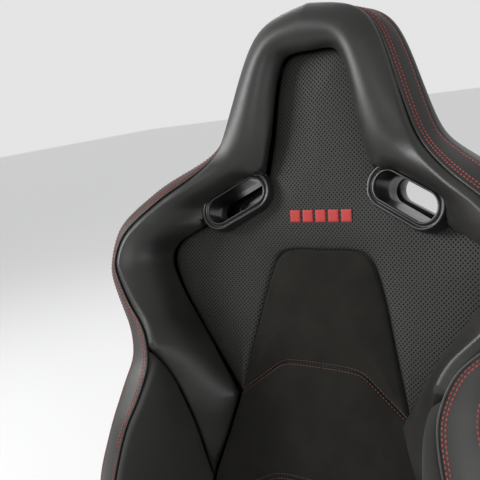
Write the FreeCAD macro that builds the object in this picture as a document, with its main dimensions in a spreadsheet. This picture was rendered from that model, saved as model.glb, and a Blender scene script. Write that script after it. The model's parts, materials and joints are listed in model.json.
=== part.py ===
import FreeCAD, Part
import math
import os
import re
import Sketcher
from BOPTools import SplitAPI
from FreeCAD import Placement, Rotation, Vector

# Reclining racing seat on slider rails. Millimetres, +Z up, the sitter faces -Y.
# Left and right are the sitter's own, so left is +X. The origin lies on the floor,
# in the middle of the four floor bolts. The backrest is drawn upright about its
# recline axis and then leant back as a whole.

os.makedirs("parts", exist_ok=True)
doc = FreeCAD.newDocument("RacingSeat")
sheet = doc.addObject("Spreadsheet::Sheet", "Sizes")
sides = (("left", 1), ("right", -1))
subparts = []

# Driving sizes

sizes = {
    "floor rails": {
        "railSpacing": 400, "railLength": 400, "railWidth": 56, "railHeight": 25,
        "railWall": 2.5, "railSlot": 31, "boltSpan": 330, "boltHole": 8.5,
        "notchPitch": 12, "notchLength": 6.4, "notchReach": 8.5, "notchTotal": 21,
        "notchFirst": -168, "stopSpan": 250, "stopPin": 8, "stopPinRise": 10,
    },
    "upper rails": {
        "sliderLength": 380, "sliderWidth": 26, "sliderTop": 44, "sliderWall": 2.5,
        "footReach": 22, "footRise": 6, "glideLength": 30, "glideInset": 40,
        "slideGap": 0.3, "stopBlock": 24, "stopBlockFoot": 5,
        "seatBolt": 8, "seatBoltHead": 13, "seatBoltSpan": 300, "seatBoltGap": 0.5,
        "seatBoltHeadWall": 4.8, "seatNutWall": 6.4,
    },
    "side plates": {
        "plateWall": 4, "plateFront": -195, "plateTail": 205, "plateCrest": 73.7,
        "plateNeck": 66, "plateShoulder": 84, "plateHoleSize": 26,
        "plateHeel": 14, "plateHeelDrop": 46, "plateRim": 2, "plateBevel": 18, "plateThroat": 14,
        "plateBrowRun": 12, "plateBrowRise": 30, "plateHoleRun": 46, "plateHoleRise": 20,
        "plateRearHoleRun": 8,
    },
    "cushion frame": {
        "crossTube": 22, "crossTubeWall": 2, "frontTubeReach": -170, "rearTubeReach": 95,
        "crossTubeRise": 60, "panWall": 3, "panHalf": 222, "panFront": -272, "panTail": 108, "panCorner": 37,
        "panWindowHalf": 120, "panWindowFront": -140, "panWindowTail": 70, "strapWidth": 38,
        "strapWall": 2, "strapTotal": 4,
    },
    "recliner": {
        "pivotReach": 185, "pivotRise": 165, "reclineAngle": 14, "armWall": 4,
        "discSize": 72, "discWall": 6, "discGap": 0.3, "spigotSize": 30, "spigotDepth": 2.7,
        "runningGap": 0.05, "rodSize": 12, "rodHole": 14, "armTop": 170, "armHub": 76,
        "armTopWidth": 24, "coverWall": 2.5, "coverDepth": 17.5, "coverGap": 0.3,
        "coverFront": -123, "coverTail": 56, "coverFoot": -80, "coverCrest": 46,
        "coverEdge": 6.5, "coverHeel": 22, "coverHeelRise": 40, "coverBevel": 20,
        "coverBevelDrop": 18, "coverNoseRise": 62, "coverCrown": -20, "leverGap": 1, "leverHub": 26, "leverHubWidth": 13,
        "leverReach": 112, "leverWidth": 20, "leverTip": 15, "leverWall": 9, "leverBend": 50.4,
        "leverBendFoot": 6, "leverBendCrest": 12, "leverTipFoot": 3, "leverTipRound": 6,
        "armHubChord": 26.6, "armHipGap": 4,
        "leverScrew": 6, "leverScrewHead": 11, "leverScrewRise": 2.5,
    },
    "slide latch": {
        "latchPivotReach": 40, "latchPivotRise": 34, "latchPin": 6, "latchPinHead": 11,
        "latchPinHeadWall": 2, "latchHub": 14, "latchWall": 3, "latchFoot": 26,
        "latchWidth": 10, "latchLap": 1, "latchInset": 2.2, "latchFront": -150, "toothLength": 5, "toothTip": 3.6,
        "toothFoot": 20.5, "toothWidth": 6, "toothTotal": 3, "toothFirst": -60,
        "towBar": 10, "towBarWall": 1.5, "towBarHalf": 163, "towBarBend": 34, "towBarReach": -290,
        "tabLength": 22,
    },
    "back frame": {
        "hoopHalf": 200, "hoopTube": 20, "hoopWall": 2, "hoopFoot": 22, "hoopShoulder": 553,
        "hoopNeckHalf": 106, "hoopNeck": 605, "hoopCrownHalf": 80, "hoopCrown": 735,
        "hoopBend": 42, "crossBar": 16, "lowerBarRise": 110, "upperBarRise": 450,
        "backStrapWidth": 40, "backStrapTotal": 4, "backStrapFirst": 170, "backStrapPitch": 70,
    },
    "back shell": {
        "foamBack": 14, "shellDepth": 40, "shellTaper": 14, "shellKnee": 16, "shellWall": 3,
        "lumbarHalf": 186, "sleeveGap": 1,
    },
    "harness slots": {
        "slotHalf": 115.5, "slotRise": 551.5, "slotSlant": 27.5, "slotTilt": 9, "slotLength": 84,
        "slotHeight": 32, "slotWall": 2.5, "bezelLength": 106, "bezelHeight": 53,
        "bezelDepth": 9, "bezelForward": 50, "bezelSleeve": 14, "bezelRound": 4,
        "rearBezelDepth": 4, "rearSleeveReach": 16, "sleeveRoom": 5,
    },
}

# half width of the backrest's outer seam against its rise above the recline axis
outline = {
    "hip": (222, 82), "wingFoot": (246, 106), "wing": (256, 148), "lap": (257, 195),
    "rib": (240, 272), "waist": (222, 350), "armpit": (224, 380), "scapula": (259, 422),
    "shoulder": (279, 468), "deltoid": (270, 506), "slope": (235, 553), "collar": (192, 587),
    "neck": (144, 619), "jaw": (126, 641), "cheek": (109, 679), "temple": (93, 724),
    "brow": (78, 751), "crown": (46, 770),
}
head_top = 785

# rise, depth on the centre line, half width and depth at the inner seam, distance from
# the outer seam to the bolster's crest, depth of the crest, depth at the outer seam
backrest_sections = {
    "base": (20, 30, 150, 34, 28, 60, 50),
    "seat": (82, 38, 150, 42, 26, 128, 114),
    "lumbar": (195, 42, 150, 46, 30, 160, 147),
    "ribs": (272, 34, 146, 42, 28, 153, 142),
    "middle": (360, 30, 160, 42, 24, 131, 122),
    "blade": (468, 25, 150, 33, 24, 123, 111),
    "harness": (560, 31, 120, 42, 30, 92, 83),
    "nape": (641, 38, 72, 40, 28, 82, 58),
    "head": (703, 44, 58, 45, 20, 74, 52),
    "panelTop": (724, 48, 46, 50, 18, 72, 48),
    "ridge": (746, 71, 34, 71, 16, 68, 45),
    "dome": (772, 62, 20, 62, 14, 60, 42),
    "peak": (787, 46, 10, 46, 8, 45, 40),
}

# half width and rise of the seams on the backrest's face
insert_head_seam = {
    "panelCorner": (30, 727), "panelSide": (47, 714), "panelMiddle": (58, 675),
    "panelJaw": (66, 628), "panelFoot": (80, 588),
}
insert_body_seam = {
    "insertTop": (178, 530), "insertShoulder": (201, 508), "insertWidest": (219, 482),
    "insertLower": (214, 452), "insertRib": (198, 419), "insertFlank": (157, 360),
    "insertTip": (115, 306),
}
suede_seam = {
    "suedeTop": (50, 490), "suedeCorner": (72, 470), "suedeUpper": (84, 427),
    "suedeMiddle": (99, 369), "suedeTip": (115, 306), "suedeLower": (135, 248),
    "suedeLap": (154, 191), "suedeFoot": (168, 130),
}
rib_seam = {
    "ribStart": (232, 366), "ribOuter": (193, 362), "ribUpper": (171, 346),
    "ribMiddle": (157, 314), "ribLower": (147, 262),
}

# reach, rise on the centre line, half width and rise at the inner seam, distance from
# the outer side to the bolster's crest, rise of the crest, rise at the outer side
cushion_sections = {
    "lip": (-292, 128, 135, 128, 60, 126, 112),
    "nose": (-276, 205, 135, 206, 52, 210, 188),
    "knee": (-240, 234, 135, 240, 44, 252, 226),
    "thigh": (-70, 206, 132, 214, 40, 284, 262),
    "buttock": (52, 180, 132, 187, 38, 206, 192),
    "tail": (112, 168, 132, 172, 30, 183, 177),
}
cushion_sizes = {
    "cushionHalf": 262, "cushionCorner": 70, "cushionShoulder": 52, "cushionTailHalf": 205,
    "noseSeam": -230, "thighSeamFront": 128, "thighSeamTail": 136, "softGap": 0.3,
}
panel_sizes = {
    "kneeHalf": 56, "arcRise": 353, "arcPitch": 138, "neckSeam": 604, "neckLap": 16, "headTop": head_top,
    "cutterLap": 55.8, "probeInset": 26,
}


def write_sizes():
    """Put every driving size into the sheet, one row each, with its name as the alias."""
    tables = dict(sizes)
    tables["cushion"] = cushion_sizes
    tables["backrest panels"] = panel_sizes
    for title, points in (
        ("backrest outline", outline), ("head panel seam", insert_head_seam),
        ("insert seam", insert_body_seam), ("suede seam", suede_seam), ("rib seam", rib_seam),
    ):
        tables[title] = {}
        for name, (half, rise) in points.items():
            tables[title][name + "Half"] = half
            tables[title][name + "Rise"] = rise
    measures = ("Rise", "CentreDepth", "SeamHalf", "SeamDepth", "CrestInset", "CrestDepth", "EdgeDepth")
    tables["backrest sections"] = {
        name + measure: number
        for name, row in backrest_sections.items() for measure, number in zip(measures, row)
    }
    measures = ("Reach", "CentreRise", "SeamHalf", "SeamRise", "CrestInset", "CrestRise", "EdgeRise")
    tables["cushion sections"] = {
        name + measure: number
        for name, row in cushion_sections.items() for measure, number in zip(measures, row)
    }
    row = 1
    for title, table in tables.items():
        sheet.set(f"A{row}", title)
        row += 1
        for name, number in table.items():
            sheet.set(f"A{row}", name)
            sheet.set(f"B{row}", str(number))
            sheet.setAlias(f"B{row}", name)
            row += 1
    doc.recompute()
    return {name for table in tables.values() for name in table}


aliases = write_sizes()


def size(text):
    """The value of a size, or of a sum of sizes, as the sheet works it out."""
    return float(sheet.evalExpression(str(text)))


def bound(text):
    """The same text, as an expression that another object can hold."""
    return re.sub(
        r"[A-Za-z]\w*", lambda word: "Sizes." + word[0] if word[0] in aliases else word[0], str(text)
    )


# Helpers

def subpart(item, node):
    item.Label = node
    subparts.append(item)
    return item


def new_body(node):
    return subpart(doc.addObject("PartDesign::Body", node), node)


def sketch_on(body, role, name, offset="0"):
    """A sketch on one of the body's own origin planes, moved along the plane's normal."""
    sketch = body.newObject("Sketcher::SketchObject", body.Name + name)
    plane = next(item for item in body.Origin.OriginFeatures if item.Role == role)
    sketch.AttachmentSupport = [(plane, "")]
    sketch.MapMode = "FlatFace"
    sketch.setExpression("AttachmentOffset.Base.z", bound(offset))
    return sketch


def pin_point(sketch, geometry, point, across, up):
    """Hold one point of a sketch at a place given by two sums of sizes."""
    for kind, axis, text in (("DistanceX", -2, across), ("DistanceY", -1, up)):
        if size(text) == 0:
            sketch.addConstraint(Sketcher.Constraint("PointOnObject", geometry, point, axis))
            continue
        rule = Sketcher.Constraint(kind, -1, 1, geometry, point, size(text))
        sketch.setExpression(f"Constraints[{sketch.addConstraint(rule)}]", bound(text))


def hold_radius(sketch, geometry, text):
    rule = Sketcher.Constraint("Radius", geometry, size(text))
    sketch.setExpression(f"Constraints[{sketch.addConstraint(rule)}]", bound(text))


def polygon(sketch, corners):
    spots = [Vector(size(across), size(up), 0) for across, up in corners]
    lines = [
        sketch.addGeometry(Part.LineSegment(spot, after), False)
        for spot, after in zip(spots, spots[1:] + spots[:1])
    ]
    for line, after in zip(lines, lines[1:] + lines[:1]):
        sketch.addConstraint(Sketcher.Constraint("Coincident", line, 2, after, 1))
    for line, (across, up) in zip(lines, corners):
        pin_point(sketch, line, 1, across, up)


def box_outline(low, high):
    """Four corners of a rectangle from its two opposite ones."""
    return [low, (high[0], low[1]), high, (low[0], high[1])]


def circle(sketch, across, up, diameter):
    centre = Vector(size(across), size(up), 0)
    ring = sketch.addGeometry(Part.Circle(centre, Vector(0, 0, 1), size(diameter) / 2), False)
    pin_point(sketch, ring, 3, across, up)
    hold_radius(sketch, ring, f"({diameter}) / 2")


def stadium(sketch, length, height):
    """Two half circles joined by straight sides, centred on the sketch."""
    half, radius = size(f"(({length}) - ({height})) / 2"), size(f"({height}) / 2")
    turns = ((half, -math.pi / 2, math.pi / 2), (-half, math.pi / 2, 3 * math.pi / 2))
    ends = [
        sketch.addGeometry(
            Part.ArcOfCircle(Part.Circle(Vector(middle, 0, 0), Vector(0, 0, 1), radius), first, last), False
        )
        for middle, first, last in turns
    ]
    top = sketch.addGeometry(
        Part.LineSegment(Vector(half, radius, 0), Vector(-half, radius, 0)), False)
    foot = sketch.addGeometry(
        Part.LineSegment(Vector(-half, -radius, 0), Vector(half, -radius, 0)), False)
    for line, before, after in ((top, ends[0], ends[1]), (foot, ends[1], ends[0])):
        sketch.addConstraint(Sketcher.Constraint("Tangent", before, 2, line, 1))
        sketch.addConstraint(Sketcher.Constraint("Tangent", line, 2, after, 1))
    for end, sign in zip(ends, ("", "-")):
        pin_point(sketch, end, 3, f"{sign}(({length}) - ({height})) / 2", "0")
        hold_radius(sketch, end, f"({height}) / 2")


def bent_path(sketch, corners, bend):
    """Straight runs from corner to corner, joined by tangent arcs of one radius."""
    spots = [Vector(size(across), size(up), 0) for across, up in corners]
    radius = size(bend)
    ways = [(after - spot).normalize() for spot, after in zip(spots, spots[1:])]
    setback = [0.0] + [
        radius * math.tan(way.getAngle(after) / 2) for way, after in zip(ways, ways[1:])
    ] + [0.0]
    runs = [
        (spots[i] + ways[i] * setback[i], spots[i + 1] - ways[i] * setback[i + 1])
        for i in range(len(ways))
    ]
    lines = [sketch.addGeometry(Part.LineSegment(*run), False) for run in runs]
    pin_point(sketch, lines[0], 1, *corners[0])
    pin_point(sketch, lines[-1], 2, *corners[-1])
    for i in range(len(lines) - 1):
        turn = ways[i].cross(ways[i + 1]).z
        centre = runs[i][1] + Vector(-ways[i].y, ways[i].x, 0) * math.copysign(radius, turn)
        first, last = (runs[i][1], runs[i + 1][0]) if turn > 0 else (runs[i + 1][0], runs[i][1])
        angles = [math.atan2(spot.y - centre.y, spot.x - centre.x) for spot in (first, last)]
        ring = Part.Circle(centre, Vector(0, 0, 1), radius)
        arc = sketch.addGeometry(Part.ArcOfCircle(ring, *angles), False)
        start, end = (1, 2) if turn > 0 else (2, 1)
        sketch.addConstraint(Sketcher.Constraint("Tangent", lines[i], 2, arc, start))
        sketch.addConstraint(Sketcher.Constraint("Tangent", arc, end, lines[i + 1], 1))
        hold_radius(sketch, arc, bend)
        corner = sketch.addGeometry(Part.Point(spots[i + 1]), True)
        pin_point(sketch, corner, 1, *corners[i + 1])
        for line in (lines[i], lines[i + 1]):
            sketch.addConstraint(Sketcher.Constraint("PointOnObject", corner, 1, line))


def pad(body, sketch, length, symmetric=False, reverse=False):
    feature = body.newObject("PartDesign::Pad", sketch.Name + "Pad")
    feature.Profile = sketch
    feature.setExpression("Length", bound(length))
    feature.SideType = "Symmetric" if symmetric else "One side"
    feature.Reversed = reverse
    doc.recompute()
    return feature


def pocket(body, sketch, length, symmetric=True, reverse=False):
    """Cut a sketch out of the body, and stop if nothing was cut."""
    before = body.Shape.Volume
    feature = body.newObject("PartDesign::Pocket", sketch.Name + "Pocket")
    feature.Profile = sketch
    feature.setExpression("Length", bound(length))
    feature.SideType = "Symmetric" if symmetric else "One side"
    feature.Reversed = reverse
    doc.recompute()
    if body.Shape.Volume > before - 1e-6:
        raise RuntimeError(sketch.Name + " cuts nothing")
    return feature


def pattern(body, feature, sketch, axis, length, copies):
    """Repeat a feature along one of its sketch's axes."""
    row = body.newObject("PartDesign::LinearPattern", feature.Name + "Row")
    row.Originals = [feature]
    row.Direction = (sketch, [axis])
    row.setExpression("Length", bound(length))
    row.setExpression("Occurrences", bound(copies))
    body.Tip = row
    doc.recompute()
    return row


def fillet(body, feature, radius, wanted):
    edges = [f"Edge{i + 1}" for i, edge in enumerate(feature.Shape.Edges) if wanted(edge)]
    rounding = body.newObject("PartDesign::Fillet", feature.Name + "Round")
    rounding.Base = (feature, edges)
    rounding.setExpression("Radius", bound(radius))
    doc.recompute()
    return rounding


def straight_along(axis):
    """A test for straight edges that run along an axis."""
    def test(edge):
        return edge.Curve.TypeId == "Part::GeomLine" and abs(edge.Curve.Direction.dot(axis)) > 0.999
    return test


def pipe(body, section, spine):
    feature = body.newObject("PartDesign::AdditivePipe", body.Name + "Pipe")
    feature.Profile = section
    feature.Spine = (spine, [f"Edge{i + 1}" for i in range(len(spine.Shape.Edges))])
    doc.recompute()
    return feature


def primitive(kind, name, measures, spot, turn=None):
    item = doc.addObject("Part::" + kind, name)
    if turn:
        item.Placement = Placement(Vector(), Rotation(*turn))
    for measure, text in measures.items():
        item.setExpression(measure, bound(text))
    for axis, text in zip("xyz", spot):
        item.setExpression("Placement.Base." + axis, bound(text))
    return item


along_x = (Vector(0, 1, 0), 90)


def rod_x(name, diameter, length, middle):
    """A round bar along X, centred on its middle."""
    spot = (f"({middle[0]}) - ({length}) / 2", middle[1], middle[2])
    return primitive(
        "Cylinder", name, {"Radius": f"({diameter}) / 2", "Height": length}, spot, along_x)


def block(name, low, high):
    """A box from its low corner to its high one."""
    measures = {
        measure: f"({end}) - ({start})"
        for measure, start, end in zip(("Length", "Width", "Height"), low, high)
    }
    return primitive("Box", name, measures, low)


def cut(name, base, tool):
    item = doc.addObject("Part::Cut", name)
    item.Base = base
    item.Tool = tool
    return item


def group(name, items):
    item = doc.addObject("Part::Compound", name)
    item.Links = items
    return item


def fuse(name, items):
    item = doc.addObject("Part::MultiFuse", name)
    item.Shapes = items
    return item


def solid(node, shape, placement=None):
    """A sub-part whose form is a surface that the other operations can't make."""
    item = doc.addObject("Part::Feature", node)
    item.Shape = shape
    if placement:
        item.Placement = placement
    return subpart(item, node)


def lean(item):
    """Lean a piece of the backrest back about the recline axis."""
    angle = -size("reclineAngle")
    spot = Vector(0, size("pivotReach"), size("pivotRise"))
    item.Placement = Placement(spot, Rotation(Vector(1, 0, 0), angle))
    item.setExpression("Placement.Base.y", bound("pivotReach"))
    item.setExpression("Placement.Base.z", bound("pivotRise"))
    item.setExpression("Placement.Rotation.Angle", bound("-reclineAngle"))
    return item


plate_inner = "(hoopHalf + hoopTube / 2 + armWall + 2 * discWall + discGap)"
plate_outer = f"({plate_inner} + plateWall)"
cover_inner = f"({plate_outer} + coverGap)"
cover_outer = f"({cover_inner} + coverDepth)"
lever_inner = f"({cover_outer} + leverGap)"
rail_centre = "(railSpacing / 2)"


# Floor rails

def lower_rail(name, side):
    """C-channel with a slot along its top, latch notches in one lip, and floor bolt holes."""
    body = new_body(f"lower_rail_{name}")
    section = sketch_on(body, "XZ_Plane", "Section")
    centre = f"{side} * {rail_centre}"
    right = [
        ("railWidth / 2", "0"), ("railWidth / 2", "railHeight"), ("railSlot / 2", "railHeight"),
        ("railSlot / 2", "railHeight - railWall"), ("railWidth / 2 - railWall", "railHeight - railWall"),
        ("railWidth / 2 - railWall", "railWall"),
    ]
    left = [(f"-({across})", up) for across, up in reversed(right)]
    polygon(section, [(f"{centre} + {across}", up) for across, up in right + left])
    pad(body, section, "railLength", symmetric=True)
    notch = sketch_on(body, "XY_Plane", "Notch", "railHeight - railWall / 2")
    edge = f"{side} * ({rail_centre} - railSlot / 2)"
    deep = f"{side} * ({rail_centre} - railSlot / 2 - notchReach)"
    near = f"{side} * ({rail_centre} - railSlot / 2 + railWall)"
    polygon(notch, box_outline(
        (deep, "notchFirst - notchLength / 2"), (near, "notchFirst + notchLength / 2")))
    cutout = pocket(body, notch, "railWall * 2")
    pattern(body, cutout, notch, "V_Axis", "notchPitch * (notchTotal - 1)", "notchTotal")
    bolts = sketch_on(body, "XY_Plane", "Bolts")
    for end in ("-boltSpan / 2", "boltSpan / 2"):
        circle(bolts, centre, end, "boltHole")
    pocket(body, bolts, "railWall * 4")
    return body


def rail_stop_pins():
    pins = [
        primitive(
            "Cylinder", f"stopPin{name}{end}", {"Radius": "stopPin / 2", "Height": "stopPinRise - railWall"},
            (f"{side} * {rail_centre}", f"{end} * stopSpan / 2", "railWall"))
        for name, side in sides for end in (-1, 1)
    ]
    return subpart(group("stopPins", pins), "rail_stop_pins")


# Upper rails

def upper_rail(name, side):
    """Hat section that stands in the lower rail's slot, with its feet under the lips."""
    body = new_body(f"upper_rail_{name}")
    section = sketch_on(body, "XZ_Plane", "Section")
    centre = f"{side} * {rail_centre}"
    right = [
        ("footReach", "footRise"), ("footReach", "footRise + sliderWall"),
        ("sliderWidth / 2", "footRise + sliderWall"), ("sliderWidth / 2", "sliderTop"),
    ]
    under = [
        ("sliderWidth / 2 - sliderWall", "footRise"),
        ("sliderWidth / 2 - sliderWall", "sliderTop - sliderWall"),
    ]
    loop = right + [(f"-({across})", up) for across, up in reversed(right)]
    loop += [(f"-({across})", up) for across, up in under]
    loop += list(reversed(under))
    polygon(section, [(f"{centre} + {across}", up) for across, up in loop])
    pad(body, section, "sliderLength", symmetric=True)
    bolts = sketch_on(body, "XY_Plane", "Bolts", "sliderTop - sliderWall / 2")
    for end in (-1, 1):
        circle(bolts, centre, f"{end} * seatBoltSpan / 2", "seatBolt + seatBoltGap * 2")
    pocket(body, bolts, "sliderWall * 2")
    return body


def rail_glides():
    """Nylon pads on the upper rails' feet, which fill the lower rails' channels."""
    pads = []
    for name, side in sides:
        for wing in (-1, 1):
            for end in (-1, 1):
                inner = f"{side} * {rail_centre} + {wing} * (sliderWidth / 2)"
                outer = f"{side} * {rail_centre} + {wing} * (railWidth / 2 - railWall - slideGap)"
                foot = f"{side} * {rail_centre} + {wing} * footReach"
                middle = f"{end} * (sliderLength / 2 - glideInset)"
                ends = (f"{middle} - glideLength / 2", f"{middle} + glideLength / 2")
                low, high = (inner, outer) if wing > 0 else (outer, inner)
                label = f"{name}{'Out' if wing > 0 else 'In'}{'Rear' if end > 0 else 'Front'}"
                whole = block(
                    "glideBlock" + label, (low, ends[0], "railWall + slideGap"),
                    (high, ends[1], "railHeight - railWall - slideGap"))
                low, high = (inner, foot) if wing > 0 else (foot, inner)
                gap = block(
                    "glideFoot" + label, (low, ends[0], "footRise"),
                    (high, ends[1], "footRise + sliderWall"))
                pads.append(cut("glide" + label, whole, gap))
    return subpart(group("glides", pads), "rail_glides")


def rail_stop_blocks():
    blocks = []
    for name, side in sides:
        wide = "(sliderWidth / 2 - sliderWall)"
        blocks.append(block(
            "stopBlock" + name, (f"{side} * {rail_centre} - {wide}", "-stopBlock / 2", "stopBlockFoot"),
            (f"{side} * {rail_centre} + {wide}", "stopBlock / 2", "sliderTop - sliderWall")))
    return subpart(group("stopBlocks", blocks), "rail_stop_blocks")


def seat_bolts():
    """Bolts that hold the side plates' feet to the upper rails, with nuts below."""
    bolts = []
    for name, side in sides:
        for end in (-1, 1):
            label = f"{name}{'Rear' if end > 0 else 'Front'}"
            spot = (f"{side} * {rail_centre}", f"{end} * seatBoltSpan / 2")
            shank = primitive(
                "Cylinder", "boltShank" + label,
                {"Radius": "seatBolt / 2", "Height": "sliderWall + plateWall + seatBolt"},
                spot + ("sliderTop - sliderWall - seatBolt",))
            head = primitive(
                "Prism", "boltHead" + label,
                {"Circumradius": "seatBoltHead / 2 / cos(30)", "Height": "seatBoltHeadWall"},
                spot + ("sliderTop + plateWall",))
            nut = primitive(
                "Prism", "boltNut" + label,
                {"Circumradius": "seatBoltHead / 2 / cos(30)", "Height": "seatNutWall"},
                spot + ("sliderTop - sliderWall - seatNutWall",))
            for hexagon in (head, nut):
                hexagon.Polygon = 6
            bolts.append(fuse("bolt" + label, [shank, head, nut]))
    return subpart(group("seatBolts", bolts), "seat_bolts")


# Seat base

def side_plate(name, side):
    """Pressed side plate: a foot on the upper rail and a web that rises to the recliner."""
    body = new_body(f"side_plate_{name}")
    web = sketch_on(body, "YZ_Plane", "Web", f"{side} * {plate_inner}")
    foot = "sliderTop"
    tail = "pivotReach + discSize / 2 + plateRim"
    top = "pivotRise + discSize / 2 + plateRim"
    polygon(web, [
        ("plateFront", foot), ("plateTail - plateHeel", foot), ("plateTail", "pivotRise - plateHeelDrop"),
        (tail, "pivotRise - plateBevel"), (tail, "pivotRise + plateBevel"),
        ("pivotReach + plateBevel", top), ("pivotReach - plateBevel", top),
        ("pivotReach - discSize / 2 - plateRim", "pivotRise + plateThroat"),
        ("plateShoulder + plateBrowRun", "plateCrest + plateBrowRise"),
        ("plateNeck", "plateCrest"), ("plateFront", "plateCrest"),
    ])
    pad(body, web, "plateWall", reverse=side < 0)
    base = sketch_on(body, "XY_Plane", "Foot", foot)
    polygon(base, box_outline(
        (f"{side} * ({rail_centre} - sliderWidth / 2)", "plateFront"),
        (f"{side} * {plate_outer}", "plateTail - plateHeel")))
    pad(body, base, "plateWall")
    holes = sketch_on(body, "YZ_Plane", "Holes", f"{side} * {plate_inner}")
    circle(holes, "pivotReach", "pivotRise", "rodHole")
    circle(holes, "plateShoulder + plateHoleRun", "plateCrest + plateHoleRise", "plateHoleSize")
    circle(
        holes, "pivotReach - plateRearHoleRun", "pivotRise - discSize / 2 - plateHoleSize", "plateHoleSize")
    pocket(body, holes, "plateWall * 4")
    bolts = sketch_on(body, "XY_Plane", "Bolts", foot)
    for end in (-1, 1):
        circle(bolts, f"{side} * {rail_centre}", f"{end} * seatBoltSpan / 2", "seatBolt + seatBoltGap * 2")
    pocket(body, bolts, "plateWall * 4")
    return body


def cross_tube(name, reach):
    middle = ("0", reach, "crossTubeRise")
    outer = rod_x(name + "Outer", "crossTube", f"2 * {plate_inner}", middle)
    bore = rod_x(name + "Bore", "crossTube - 2 * crossTubeWall", f"2 * {plate_inner}", middle)
    return subpart(cut(name + "Tube", outer, bore), name)


def cushion_pan():
    """Pressed steel pan on the cross tubes, with a window that the straps span."""
    body = new_body("cushion_pan")
    rise = "crossTubeRise + crossTube / 2"
    plate = sketch_on(body, "XY_Plane", "Plate", rise)
    polygon(plate, box_outline(("-panHalf", "panFront"), ("panHalf", "panTail")))
    sheet_plate = pad(body, plate, "panWall")
    fillet(body, sheet_plate, "panCorner", straight_along(Vector(0, 0, 1)))
    window = sketch_on(body, "XY_Plane", "Window", rise)
    polygon(window, box_outline(
        ("-panWindowHalf", "panWindowFront"), ("panWindowHalf", "panWindowTail")))
    pocket(body, window, "panWall * 4")
    return body


def cushion_straps():
    """Elastic webbing under the sitter, held on the underside of the pan."""
    straps = []
    room = "((panWindowTail - panWindowFront) / strapTotal)"
    rise = "crossTubeRise + crossTube / 2"
    for index in range(round(size("strapTotal"))):
        middle = f"(panWindowFront + {room} * ({index} + 0.5))"
        straps.append(block(
            f"strap{index}",
            ("-panWindowHalf - strapWidth / 2", f"{middle} - strapWidth / 2", f"{rise} - strapWall"),
            ("panWindowHalf + strapWidth / 2", f"{middle} + strapWidth / 2", rise)))
    return subpart(group("straps", straps), "cushion_straps")


def recliner_guide(name, side):
    """Disc on the side plate, with a recess that the backrest's disc turns in."""
    body = new_body(f"recliner_guide_{name}")
    inner = f"({plate_inner} - discWall)"
    disc = sketch_on(body, "YZ_Plane", "Disc", f"{side} * {inner}")
    circle(disc, "pivotReach", "pivotRise", "discSize")
    pad(body, disc, "discWall", reverse=side < 0)
    recess = sketch_on(body, "YZ_Plane", "Recess", f"{side} * {inner}")
    circle(recess, "pivotReach", "pivotRise", "spigotSize")
    pocket(body, recess, "spigotDepth + discGap", symmetric=False, reverse=side > 0)
    hole = sketch_on(body, "YZ_Plane", "Hole", f"{side} * {inner}")
    circle(hole, "pivotReach", "pivotRise", "rodSize + 2 * runningGap")
    pocket(body, hole, "discWall * 4")
    return body


def recliner_cover(name, side):
    """Moulded cover over the recliner, open towards the side plate."""
    body = new_body(f"recliner_cover_{name}")
    reach, rise = "pivotReach", "pivotRise"
    corners = [
        ("coverFront", "coverFoot"), ("coverTail - coverHeel", "coverFoot"),
        ("coverTail", "coverFoot + coverHeelRise"), ("coverTail", "coverCrest - coverBevelDrop"),
        ("coverTail - coverBevel", "coverCrest"), ("coverCrown", "coverCrest"),
        ("coverFront", "coverFoot + coverNoseRise"),
    ]
    face = sketch_on(body, "YZ_Plane", "Face", f"{side} * {cover_inner}")
    polygon(face, [(f"{reach} + {across}", f"{rise} + {up}") for across, up in corners])
    shell = pad(body, face, "coverDepth", reverse=side < 0)
    outer = side * size(cover_outer)
    fillet(
        body, shell, "coverEdge",
        lambda edge: abs(edge.BoundBox.XMin - outer) < 0.01 and abs(edge.BoundBox.XMax - outer) < 0.01)
    hollow = sketch_on(body, "YZ_Plane", "Hollow", f"{side} * {cover_inner}")
    inset = [
        ("coverWall", "coverWall"), ("-coverWall", "coverWall"), ("-coverWall", "coverWall / 2"),
        ("-coverWall", "-coverWall / 2"), ("-coverWall / 2", "-coverWall"),
        ("coverWall / 2", "-coverWall"), ("coverWall", "-coverWall / 2"),
    ]
    polygon(hollow, [
        (f"{reach} + {across} + {dx}", f"{rise} + {up} + {dz}")
        for (across, up), (dx, dz) in zip(corners, inset)
    ])
    pocket(body, hollow, "coverDepth - coverWall", symmetric=False, reverse=side > 0)
    hole = sketch_on(body, "YZ_Plane", "Hole", f"{side} * {cover_inner}")
    circle(hole, reach, rise, "rodHole")
    pocket(body, hole, "coverDepth * 4")
    return body


# Slide latch

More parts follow.
